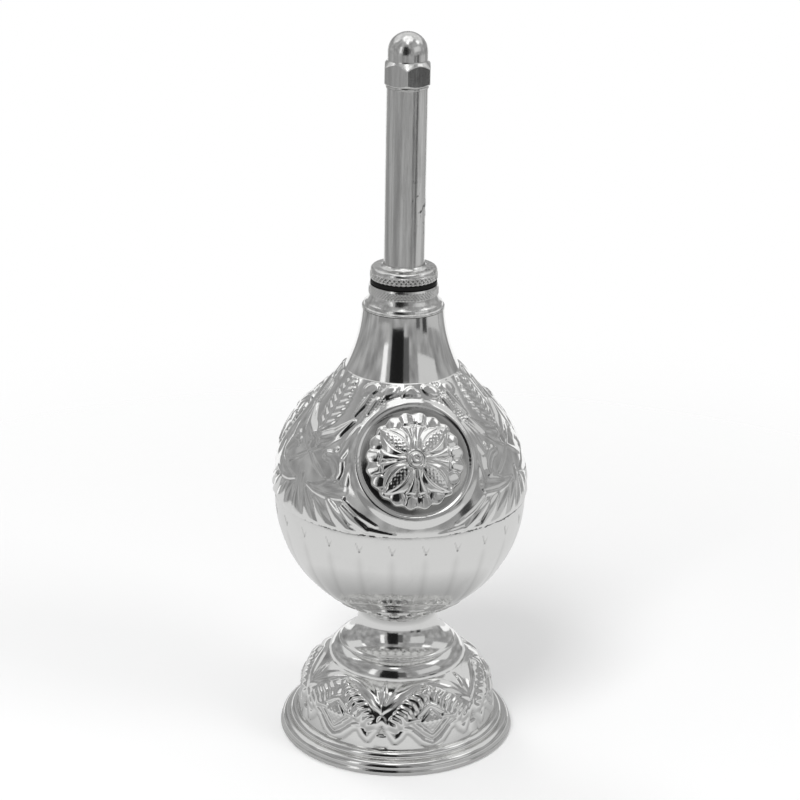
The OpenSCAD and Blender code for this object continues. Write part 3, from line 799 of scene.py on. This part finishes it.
# Notch at the head of a valley: places across it and drawn heights, half widths and strength
NOTCH = (
    (((-0.9, 77.6), (0.1, 74.9)), (0.28, 0.4), 1.0),
    (((1.1, 77.0), (0.1, 74.9)), (0.22, 0.4), 0.8),
)
NOTCH_DEPTH = 0.3
# Curled leaf tips round the seat: degrees below the bowl's middle, half width and length, and height
CURL_FALL = 59.0
CURL_HALF = (1.7, 3.8)
CURL_HEIGHT = 0.4


def bowl_relief(spots, middle, radius, depth):
    """Relief of the lower bowl: valleys, the notches at their heads, and curled tips round the seat."""
    off = nearest(turn_of(spots) - GADROON_TURN, GADROON_PITCH)
    drawn = spots[:, 2] + DRAWN_LIFT
    across = np.radians(off) * radius_of(spots)
    valley = np.clip(1.0 - np.abs(off) / (GADROON_PITCH / 2), 0.0, 1.0) ** 2.2
    span = step_between(46.0, 54.0, drawn) * (1.0 - step_between(70.0, 77.0, drawn))
    flat = np.stack([across, drawn], 1)
    notch = np.maximum(*(stroke(flat, *parts)[0] for parts in NOTCH))
    rise = spots[:, 2] - middle
    below = np.radians(CURL_FALL) + np.arcsin(np.clip(rise / np.hypot(radius_of(spots), rise), -1.0, 1.0))
    curl = np.hypot(across / CURL_HALF[0], below * radius / CURL_HALF[1])
    return CURL_HEIGHT * hump((curl - 0.7) / 0.3) - depth * valley * span - NOTCH_DEPTH * notch


class SPRINKLER_OT_gadrooned_bowl(bpy.types.Operator):
    """Lower half of the bulb, with shallow gadroons and a notch at the head of each valley."""
    bl_idname = "sprinkler.gadrooned_bowl"
    bl_label = "Gadrooned bowl"

    def execute(self, context):
        sizes = context.scene.sprinkler_sizes
        radius = sizes.bowl_radius / MM
        inner = radius - SHEET
        # Lip that laps up inside the shoulder
        lap, lip = 37.2, 2.0
        rise = math.sqrt(radius ** 2 - BOWL_SEAT ** 2)
        middle = FOOT_TOP + rise
        centre = (0.0, middle)
        seat = math.degrees(math.atan2(-rise, BOWL_SEAT))
        top = math.degrees(math.asin((SEAM - middle) / radius))
        inner_top = math.degrees(math.asin((SEAM - 1.2 - middle) / inner))
        inner_seat = math.degrees(math.asin((FOOT_TOP + SHEET - middle) / inner))
        outline = [(SCREW_HOLE, FOOT_TOP)] + arc(centre, radius, seat, top, 110)
        outline += [(lap, SEAM), (lap, SEAM + lip), (lap - SHEET, SEAM + lip), (lap - SHEET, SEAM)]
        outline += arc(centre, inner, inner_top, inner_seat, 14) + [(SCREW_HOLE, FOOT_TOP + SHEET)]
        shape = spin_piece(outline, 576)
        spots = places(shape)
        local = spots - (0.0, 0.0, middle)
        out = np.linalg.norm(local, axis=1)
        relief = bowl_relief(spots, middle, radius, sizes.gadroon_depth / MM)
        relief = np.where(np.abs(out - radius) < 0.05, relief, 0.0)
        move(shape, spots + (relief / out)[:, None] * local, relief)
        finish_piece("gadrooned_bowl", shape, "vessel", struck_silver(), ["bowl_lower"], 50.0)
        return {"FINISHED"}


class SPRINKLER_OT_embossed_shoulder(bpy.types.Operator):
    """Upper half of the bulb, with medallion frames and leaf sprays."""
    bl_idname = "sprinkler.embossed_shoulder"
    bl_label = "Embossed shoulder"

    def execute(self, context):
        sizes = context.scene.sprinkler_sizes
        shoulder = Shoulder(sizes)
        radius, middle, lean = shoulder.radius, shoulder.middle, math.degrees(shoulder.straight)
        centre = (0.0, middle)
        inner = radius - SHEET
        low, inner_low = (math.degrees(math.asin((SEAM - middle) / r)) for r in (radius, inner))
        start, inner_start = (arc(centre, r, lean, lean, 1)[0] for r in (radius, inner))
        end = (float(shoulder.radius_at(SHOULDER_TOP)), SHOULDER_TOP)
        inner_end = (end[0] - SHEET / math.cos(shoulder.straight), SHOULDER_TOP)
        outline = arc(centre, radius, low, lean, 95)[:-1] + line(start, end, 54) + [end, inner_end]
        outline += line(inner_end, inner_start, 4)[1:] + arc(centre, inner, lean, inner_low, 9)
        shape = spin_piece(outline, 600)
        spots = places(shape)
        out, away = shoulder.gap(spots)
        relief = np.where(np.abs(out) < 0.08, shoulder_relief(shoulder, spots), 0.0) * sizes.relief
        move(shape, spots + relief[:, None] * away, relief)
        nodes = ["bowl_upper"]
        finish_piece("embossed_shoulder", shape, "vessel", struck_silver(), nodes, 60.0)
        return {"FINISHED"}


class SPRINKLER_OT_rosettes(bpy.types.Operator):
    """Rosettes inside the medallion frames."""
    bl_idname = "sprinkler.rosettes"
    bl_label = "Rosettes"

    def execute(self, context):
        sizes = context.scene.sprinkler_sizes
        shoulder = Shoulder(sizes)
        radius = sizes.rosette_radius / MM
        for k, name in enumerate(MEDALLIONS):
            middle, right, up, out = shoulder.medallion_axes(k)
            shape = bmesh.new()
            verts = [shape.verts.new((r, 0.0, 0.0)) for r in np.linspace(0.0, radius + 0.5, 88)]
            edges = [shape.edges.new(pair) for pair in zip(verts[:-1], verts[1:])]
            spin_wedges(shape, verts + edges, 300, 1e-4)
            flat = np.array([v.co for v in shape.verts])
            spots = middle + flat[:, :1] * right + flat[:, 1:2] * up
            # Lets the flat disc down on the plain wall
            for _ in range(4):
                gap, away = shoulder.gap(spots)
                spots = spots - (gap / (away @ out))[:, None] * out
            away = shoulder.gap(spots)[1]
            drawn = flat * ROSETTE_DRAWN / radius
            relief = rosette_relief(drawn[:, 0], drawn[:, 1]) * sizes.relief
            move(shape, spots + relief[:, None] * away, relief)
            bmesh.ops.recalc_face_normals(shape, faces=shape.faces)
            if sum(f.normal.dot(Vector(out)) for f in shape.faces) < 0.0:
                bmesh.ops.reverse_faces(shape, faces=shape.faces)
            finish_piece(name, shape, "vessel", struck_silver(), [], 70.0)
        return {"FINISHED"}


class SPRINKLER_OT_neck_flare(bpy.types.Operator):
    """Plain drawn cone of the neck."""
    bl_idname = "sprinkler.neck_flare"
    bl_label = "Neck flare"

    def execute(self, context):
        skirt = np.array((17.1, SHOULDER_TOP + 0.15))
        mouth = np.array((12.2, NECK_TOP))
        bow = 45.0
        # Ring that goes into the shoulder
        ring_inner, ring_outer, ring_depth = 14.76, 15.55, 1.4
        span = np.linalg.norm(mouth - skirt)
        side = np.array((mouth[1] - skirt[1], skirt[0] - mouth[0])) / span
        centre = (skirt + mouth) / 2 + math.sqrt(bow ** 2 - span ** 2 / 4) * side
        low, high = (math.degrees(math.atan2(*(p - centre)[::-1])) % 360.0 for p in (skirt, mouth))
        outline = [tuple(skirt - (0.15, 0.0))] + arc(centre, bow, low, high, 40)
        outline += [(mouth[0] - SHEET, NECK_TOP)] + arc(centre, bow + SHEET, high, low, 20)[1:-1]
        outline += [(ring_inner, SHOULDER_TOP + 0.7), (ring_inner, SHOULDER_TOP - ring_depth)]
        outline += [(ring_outer, SHOULDER_TOP - ring_depth), (ring_outer, SHOULDER_TOP)]
        shape = spin_piece(outline, 252)
        finish_piece("neck_flare", shape, "vessel", silver(), ["neck_cone"], 35.0)
        return {"FINISHED"}


def knurl(spots, low, high, radius, teeth, depth):
    """Pulls a band of a turned piece in between the teeth of its knurl, and gives how far."""
    fade = 0.25
    r = radius_of(spots)
    z = spots[:, 2]
    around = np.arctan2(spots[:, 1], spots[:, 0]) / (2 * np.pi)
    lean = (z - low) * teeth / (2 * np.pi * radius)
    cut = ripple(around * teeth + lean) * ripple(around * teeth - lean)
    band = step_between(low, low + fade, z) * (1.0 - step_between(high - fade, high, z))
    pull = np.where(np.abs(r - radius) < 0.3, depth * cut * band, 0.0)
    return drawn_in(spots, (r - pull) / np.maximum(r, 1e-6)), -pull


class SPRINKLER_OT_threaded_collar(bpy.types.Operator):
    """Turned collar with its bead, cove and knurled band, and the thread inside."""
    bl_idname = "sprinkler.threaded_collar"
    bl_label = "Threaded collar"

    def execute(self, context):
        base = COLLAR_TOP - 7.3
        bore, barrel, teeth = 8.02, 10.3, 64
        knurl_low, knurl_top = COLLAR_TOP - 2.9, COLLAR_TOP - 0.6
        # Plug in the neck, bead and cove
        outline = [(bore, base - 3.0), (11.2, base - 3.0), (11.2, base), (11.85, base)]
        outline += arc((11.8, base + 0.45), 0.45, -90, 90, 9)[1:] + [(11.68, base + 1.0)]
        outline += arc((14.6, base + 5.2), 4.6, 228.0, 187.0, 14)
        # Knurled band, flat top and thread
        outline += [(10.02, knurl_low - 0.1), (10.05, knurl_low)]
        outline += line((barrel, knurl_low + 0.12), (barrel, knurl_top - 0.12), 16)
        outline += [(barrel, knurl_top - 0.12), (10.2, knurl_top), (10.15, knurl_top + 0.2)]
        outline += [(9.95, COLLAR_TOP), (8.35, COLLAR_TOP)]
        outline += thread((8.3, bore), COLLAR_TOP - 0.5, base - 2.8, SPOUT_PITCH)
        shape = spin_piece(outline, 768)
        depth = context.scene.sprinkler_sizes.knurl_depth / MM
        move(shape, *knurl(places(shape), knurl_low, knurl_top, barrel, teeth, depth))
        finish_piece("threaded_collar", shape, "vessel", nickel(), ["neck_collar"], 38.0)
        return {"FINISHED"}


class SPRINKLER_OT_rubber_seal(bpy.types.Operator):
    """Black ring squeezed between collar and spout."""
    bl_idname = "sprinkler.rubber_seal"
    bl_label = "Rubber seal"

    def execute(self, context):
        bore, flat, outer = 8.08, 8.6, 9.82
        half = (SEAL_TOP - COLLAR_TOP) / 2
        outline = [(bore, COLLAR_TOP), (flat, COLLAR_TOP)]
        outline += arc((outer - half, COLLAR_TOP + half), half, -80, 80, 14)
        outline += [(flat, SEAL_TOP), (bore, SEAL_TOP)]
        shape = spin_piece(outline, 168)
        finish_piece("rubber_seal", shape, "seal", rubber(), ["seal_ring"], 45.0)
        return {"FINISHED"}


class SPRINKLER_OT_spout_flange(bpy.types.Operator):
    """Knurled flange of the spout and the thread below it."""
    bl_idname = "sprinkler.spout_flange"
    bl_label = "Spout flange"

    def execute(self, context):
        low = SEAL_TOP
        top = low + 3.7
        bore, barrel, teeth = 6.1, 9.95, 44
        knurl_top = low + 2.3
        # Thread, underside and knurled band
        outline = [(bore, TUBE_LOW), (7.6, TUBE_LOW)]
        outline += thread((7.62, 7.92), TUBE_LOW + 0.3, low - 0.5, SPOUT_PITCH)
        outline += [(7.7, low), (9.3, low), (9.75, low + 0.15)]
        outline += line((barrel, low + 0.4), (barrel, knurl_top), 18)
        # Round shoulder and the fillet up to the tube
        outline += [(barrel, knurl_top), (9.85, knurl_top + 0.12)] + arc((8.75, top - 1.15), 1.15, 4, 80, 14)
        outline += [(7.6, top), (7.05, top + 0.08), (6.6, top + 0.32), (6.32, top + 0.62), (bore, top + 0.85)]
        shape = spin_piece(outline, 720)
        depth = context.scene.sprinkler_sizes.knurl_depth / MM * 1.3
        move(shape, *knurl(places(shape), low + 0.2, knurl_top, barrel, teeth, depth))
        finish_piece("spout_flange", shape, "spout", nickel(), ["spout_base"], 38.0)
        return {"FINISHED"}


class SPRINKLER_OT_sprinkler_tube(bpy.types.Operator):
    """Plain tube with its threaded end under the cap."""
    bl_idname = "sprinkler.sprinkler_tube"
    bl_label = "Sprinkler tube"

    def execute(self, context):
        radius = context.scene.sprinkler_sizes.tube_radius / MM
        bore, end_bore, edge = 5.2, 4.0, 0.15
        end_low = WASHER_LOW - 5.0
        outline = [(bore, TUBE_LOW), (5.8, TUBE_LOW), (radius, TUBE_LOW + 0.2)]
        outline += line((radius, TUBE_LOW + 2.0), (radius, WASHER_LOW - edge), 30)[1:]
        outline += [(radius, WASHER_LOW - edge), (radius - edge, WASHER_LOW), (4.75, WASHER_LOW)]
        outline += thread((4.72, 4.98), WASHER_LOW + 0.3, THREAD_TOP - 0.3, CAP_PITCH)
        outline += [(4.6, THREAD_TOP), (end_bore, THREAD_TOP), (end_bore, end_low), (bore, end_low)]
        shape = spin_piece(outline, 168)
        finish_piece("sprinkler_tube", shape, "spout", nickel(), ["spout_tube"], 38.0)
        return {"FINISHED"}


class SPRINKLER_OT_bright_washer(bpy.types.Operator):
    """Thin bright ring under the cap."""
    bl_idname = "sprinkler.bright_washer"
    bl_label = "Bright washer"

    def execute(self, context):
        bore, flat, edge = 5.12, 6.1, 0.12
        outline = [(bore, WASHER_LOW), (flat, WASHER_LOW), (6.28, WASHER_LOW + edge)]
        outline += [(6.32, WASHER_LOW + 0.4), (6.28, CAP_LOW - edge), (flat, CAP_LOW), (bore, CAP_LOW)]
        shape = spin_piece(outline, 132)
        finish_piece("bright_washer", shape, "washer", silver(), ["cap_washer"], 40.0)
        return {"FINISHED"}


class SPRINKLER_OT_cap_nut(bpy.types.Operator):
    """Hexagon cap with its domed end and nozzle hole."""
    bl_idname = "sprinkler.cap_nut"
    bl_label = "Cap nut"

    def execute(self, context):
        hex_top = CAP_LOW + 7.0
        chamfer_low, chamfer_top = CAP_LOW + 0.85, hex_top - 1.9
        corner = HEX_HALF / math.cos(math.radians(30))
        dome, dome_radius, inner = hex_top + 2.3, 5.85, 4.7
        bore, nozzle = 5.08, 0.75
        # Hexagon with both chamfers, as a round piece
        outline = [(bore, CAP_LOW), (6.25, CAP_LOW)] + line((6.45, CAP_LOW + 0.1), (corner, chamfer_low), 5)
        outline += line((corner, chamfer_low), (corner, chamfer_top), 12)
        outline += line((corner, chamfer_top), (5.98, hex_top - 0.1), 14)
        outline += [(5.98, hex_top - 0.1), (5.9, hex_top), (5.86, hex_top + 0.12)]
        # Domed end with its hole, and the hollow inside
        outline += line((dome_radius, hex_top + 0.3), (dome_radius, dome), 5)
        outline += arc((0.0, dome), dome_radius, 0.0, 81.5, 26)
        outline += [(nozzle, dome + 5.65), (nozzle, dome + 4.6)]
        outline += arc((0.0, dome), inner, 80.0, 0.0, 10)
        outline += [(inner, CAP_LOW + 6.3), (bore, CAP_LOW + 6.2)]
        shape = spin_piece(outline, 240)
        spots = places(shape)
        r = radius_of(spots)
        # Flats, cut from the round piece
        flat = HEX_HALF / np.cos(np.radians(nearest(turn_of(spots) - 90.0, 60.0)))
        on_hex = (spots[:, 2] > CAP_LOW + 0.05) & (spots[:, 2] < hex_top + 0.01) & (r > 6.2)
        move(shape, drawn_in(spots, np.where(on_hex, np.minimum(flat, r) / np.maximum(r, 1e-6), 1.0)))
        finish_piece("cap_nut", shape, "cap", nickel(), ["sprinkler_cap"], 20.0)
        return {"FINISHED"}


class SPRINKLER_OT_foot_fixings(bpy.types.Operator):
    """Finishes of the screw, washer and nut inside the foot."""
    bl_idname = "sprinkler.foot_fixings"
    bl_label = "Foot fixings"

    def execute(self, context):
        steel = fastener("fixing_steel", (0.55, 0.55, 0.56), (0.3, 0.3, 0.3))
        brass = fastener("fixing_brass", (0.74, 0.56, 0.25), (0.35, 0.24, 0.1))
        for name, material in (("foot_screw", steel), ("foot_washer", steel), ("foot_nut", brass)):
            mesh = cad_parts[name].data
            mesh.materials.clear()
            mesh.materials.append(material)
        return {"FINISHED"}


# Stage

# Radii of the floor, of the table and of the room, and height of the room's middle, in metres
FLOOR_RADIUS = 0.42
TABLE_RADIUS = 0.235
ROOM_RADIUS = 1.5
ROOM_MIDDLE = 0.1
# Distances from the middle over which the floor fades out and the table's painted shadow of the object
# brightens to the table's tone, and the tone of that painted shadow
FLOOR_FADE = (0.12, 0.40)
TABLE_SHADOW_SPAN = (0.04, 0.08)
TABLE_SHADOW_TONE = 0.42
# Darkest and brightest patches of the room, as shares of its brightness
ROOM_MOTTLE = (0.6, 1.45)
# Cards of the room: turns off the front, rises, distance in metres and brightness
ROOM = (
    ("white_strip", (-46, -35), (6, 38), 1.40, 1.0),
    ("dark_figure", (-27, 3), (-4, 42), 1.30, 0.012),
    ("grey_figure", (-2, 16), (2, 34), 1.32, 0.10),
    ("pale_wall_right", (36, 78), (12, 36), 1.40, 0.62),
    ("window_left", (-122, -98), (40, 58), 1.40, 1.3),
    ("window_right", (78, 104), (42, 58), 1.40, 1.2),
    ("ceiling", (0, 360), (68, 90), 1.42, 1.1),
    ("ceiling_lamp", (-16, 6), (56, 75), 1.38, 1.6),
    ("back_paper", (146, 214), (-26, 2), 1.40, 1.0),
    ("dim_floor_left", (-70, -35), (-24, -8), 1.40, 0.26),
    ("dark_box_right", (54, 66), (-14, -2), 1.36, 0.05),
    ("dark_streak_right", (36, 46), (-13, -4), 1.36, 0.10),
    ("back_wall", (105, 255), (30, 66), 1.40, 0.7),
    ("pale_floor_right", (70, 110), (-24, -6), 1.40, 0.52),
)
# Lamps: place and size in metres, and the setting that holds their power
LAMPS = (
    ("key_lamp", (-0.35, -0.75, 1.15), 0.5, "key_power"),
    ("fill_lamp_right", (0.95, -0.45, 0.75), 0.45, "fill_power"),
    ("fill_lamp_back", (-0.6, 0.95, 0.9), 0.45, "fill_power"),
)
LAMP_AIM = Vector((0.0, 0.0, 0.1))
# Camera fitted to the photograph: place in metres, lens and sensor in millimetres, turns in radians
CAMERA_SPOT = (0.0, -0.65419, 0.34786)
CAMERA_LENS = 105.02
CAMERA_SENSOR = 36.0
CAMERA_PITCH = 0.3524
CAMERA_YAW = -0.0007
CAMERA_ROLL = 0.0182


def glow(name, tone):
    """Black material that gives off an even light."""
    material, tree, shader = new_material(name)
    set_inputs(tree, shader, {
        "Base Color": (0.0, 0.0, 0.0, 1.0), "Roughness": 1.0, "Specular IOR Level": 0.0,
        "Emission Color": (tone, tone, tone, 1.0), "Emission Strength": 1.0})
    return material, tree, shader


def stage_object(name, shape, material, mirrored):
    """Stage piece that the camera sees, or that only the metal mirrors."""
    mesh = bpy.data.meshes.new(name)
    shape.to_mesh(mesh)
    shape.free()
    mesh.materials.append(material)
    thing = bpy.data.objects.new(name, mesh)
    bpy.context.scene.collection.objects.link(thing)
    thing.visible_camera = not mirrored
    thing.visible_diffuse = not mirrored
    thing.visible_shadow = not mirrored
    thing.visible_glossy = mirrored


def disc(radius):
    """Flat round disc on the ground."""
    shape = bmesh.new()
    bmesh.ops.create_circle(shape, cap_ends=True, cap_tris=True, segments=96, radius=radius)
    return shape


def from_middle(tree):
    """Distance of a place from the middle of the foot."""
    return add_node(tree, "ShaderNodeVectorMath", {0: own_spot(tree)}, operation="LENGTH").outputs["Value"]


def pale_floor(stage):
    """Floor that fades into the white round it."""
    material, tree, shader = new_material("stage_floor")
    set_inputs(tree, shader, {
        "Base Color": (*stage.floor, 1.0), "Roughness": 0.9, "Specular IOR Level": 0.0,
        "Alpha": remap(tree, from_middle(tree), FLOOR_FADE, (1.0, 0.0), "SMOOTHSTEP")})
    stage_object("floor", disc(FLOOR_RADIUS), material, False)


def mirrored_table(stage):
    """Table that only the metal mirrors, with a painted shadow of the object that dims it close to the foot.
    """
    material, tree, shader = glow("stage_table", stage.table)
    shade = remap(tree, from_middle(tree), TABLE_SHADOW_SPAN, (TABLE_SHADOW_TONE, stage.table))
    set_inputs(tree, shader, {"Emission Color": shade})
    stage_object("table", disc(TABLE_RADIUS), material, True)


def grey_room(stage):
    """Mottled grey room that only the metal mirrors."""
    shape = bmesh.new()
    bmesh.ops.create_icosphere(shape, subdivisions=4, radius=ROOM_RADIUS)
    bmesh.ops.translate(shape, vec=(0.0, 0.0, ROOM_MIDDLE), verts=shape.verts)
    material, tree, shader = glow("stage_room", stage.wall)
    patches = noise(tree, own_spot(tree), 2.6, 3.0, 0.55)
    mottle = remap(tree, patches, (0.3, 0.7), [stage.wall * part for part in ROOM_MOTTLE])
    set_inputs(tree, shader, {"Emission Color": mottle})
    stage_object("grey_room", shape, material, True)


def room_card(name, turns, rises, distance, tone):
    """Curved card in the room, from one turn off the front to another and between two rises, in degrees."""
    shape = bmesh.new()
    bmesh.ops.create_grid(shape, x_segments=24, y_segments=12, size=1.0)
    for vert in shape.verts:
        turn = math.radians(turns[0] + (turns[1] - turns[0]) * (vert.co.x + 1.0) / 2 - 90.0)
        rise = math.radians(rises[0] + (rises[1] - rises[0]) * (vert.co.y + 1.0) / 2)
        vert.co = distance * Vector(outward(turn, rise))
    bmesh.ops.translate(shape, vec=(0.0, 0.0, ROOM_MIDDLE), verts=shape.verts)
    stage_object(name, shape, glow("stage_" + name, tone)[0], True)


def white_world(scene, strength):
    """White for the camera and the mirror images, and softer light from all round."""
    world = bpy.data.worlds.new("white_room")
    scene.world = world
    world.use_nodes = True
    tree = world.node_tree
    tree.nodes.clear()
    path = tree.nodes.new("ShaderNodeLightPath").outputs
    seen = reckon(tree, "MAXIMUM", path["Is Camera Ray"], path["Is Glossy Ray"])
    seen = reckon(tree, "MAXIMUM", seen, path["Is Transmission Ray"])
    level = remap(tree, seen, (0.0, 1.0), (strength, 1.0))
    light = add_node(tree, "ShaderNodeBackground", {"Color": (1.0, 1.0, 1.0, 1.0), "Strength": level})
    add_node(tree, "ShaderNodeOutputWorld", {"Surface": light.outputs["Background"]})


def soft_lamp(scene, name, spot, size, power):
    """Square lamp that shines at the object and isn't mirrored in it."""
    data = bpy.data.lights.new(name, "AREA")
    data.shape = "SQUARE"
    data.size = size
    data.energy = power
    lamp = bpy.data.objects.new(name, data)
    scene.collection.objects.link(lamp)
    lamp.visible_glossy = False
    turn = (LAMP_AIM - Vector(spot)).to_track_quat("-Z", "Y").to_matrix().to_4x4()
    lamp.matrix_world = Matrix.Translation(spot) @ turn


def photo_camera(scene):
    """Camera at the photograph's place."""
    data = bpy.data.cameras.new("camera")
    data.sensor_width = CAMERA_SENSOR
    data.lens = CAMERA_LENS
    data.clip_start = 0.01
    camera = bpy.data.objects.new("camera", data)
    scene.collection.objects.link(camera)
    level = math.cos(CAMERA_PITCH)
    ahead = Vector((math.sin(CAMERA_YAW) * level, math.cos(CAMERA_YAW) * level, -math.sin(CAMERA_PITCH)))
    right = Vector((math.cos(CAMERA_YAW), -math.sin(CAMERA_YAW), 0.0))
    up = right.cross(ahead)
    side = right * math.cos(CAMERA_ROLL) + up * math.sin(CAMERA_ROLL)
    top = up * math.cos(CAMERA_ROLL) - right * math.sin(CAMERA_ROLL)
    turn = Matrix((side, top, -ahead)).transposed().to_4x4()
    camera.matrix_world = Matrix.Translation(CAMERA_SPOT) @ turn
    scene.camera = camera


class SPRINKLER_OT_stage(bpy.types.Operator):
    """Pale floor, grey room for the mirror images, lamps and camera."""
    bl_idname = "sprinkler.stage"
    bl_label = "Stage"

    def execute(self, context):
        scene = context.scene
        stage = scene.sprinkler_stage
        pale_floor(stage)
        mirrored_table(stage)
        grey_room(stage)
        for card in ROOM:
            room_card(*card)
        white_world(scene, stage.room)
        for name, spot, size, power in LAMPS:
            soft_lamp(scene, name, spot, size, getattr(stage, power))
        photo_camera(scene)
        scene.view_settings.view_transform = "Standard"
        return {"FINISHED"}


PIECES = (
    SPRINKLER_OT_stamped_foot, SPRINKLER_OT_gadrooned_bowl, SPRINKLER_OT_embossed_shoulder,
    SPRINKLER_OT_rosettes, SPRINKLER_OT_neck_flare, SPRINKLER_OT_threaded_collar, SPRINKLER_OT_rubber_seal,
    SPRINKLER_OT_spout_flange, SPRINKLER_OT_sprinkler_tube, SPRINKLER_OT_bright_washer,
    SPRINKLER_OT_cap_nut, SPRINKLER_OT_foot_fixings, SPRINKLER_OT_stage)
GROUPS = {
    "sprinkler_sizes": SprinklerSizes,
    "sprinkler_finish": SprinklerFinish,
    "sprinkler_stage": SprinklerStage,
}


class SPRINKLER_PT_panel(bpy.types.Panel):
    """Sidebar panel with the sizes, finishes and pieces."""
    bl_idname = "SPRINKLER_PT_panel"
    bl_label = "Holy-water sprinkler"
    bl_space_type = "VIEW_3D"
    bl_region_type = "UI"
    bl_category = "Sprinkler"

    def draw(self, context):
        for group, kind in GROUPS.items():
            box = self.layout.box()
            for name in kind.__annotations__:
                box.prop(getattr(context.scene, group), name)
        for piece in PIECES:
            self.layout.operator(piece.bl_idname)


def register():
    """Makes the settings, operators and panel known."""
    for kind in (*GROUPS.values(), *PIECES, SPRINKLER_PT_panel):
        bpy.utils.register_class(kind)
    for group, kind in GROUPS.items():
        setattr(bpy.types.Scene, group, bpy.props.PointerProperty(type=kind))


def unregister():
    """Takes the settings, operators and panel away again."""
    for group in GROUPS:
        delattr(bpy.types.Scene, group)
    for kind in reversed((*GROUPS.values(), *PIECES, SPRINKLER_PT_panel)):
        bpy.utils.unregister_class(kind)


def main():
    """Builds every piece and the stage."""
    register()
    for piece in PIECES:
        getattr(bpy.ops.sprinkler, piece.bl_idname.split(".")[1])()
    bpy.context.view_layer.update()


if __name__ == "__main__":
    main()
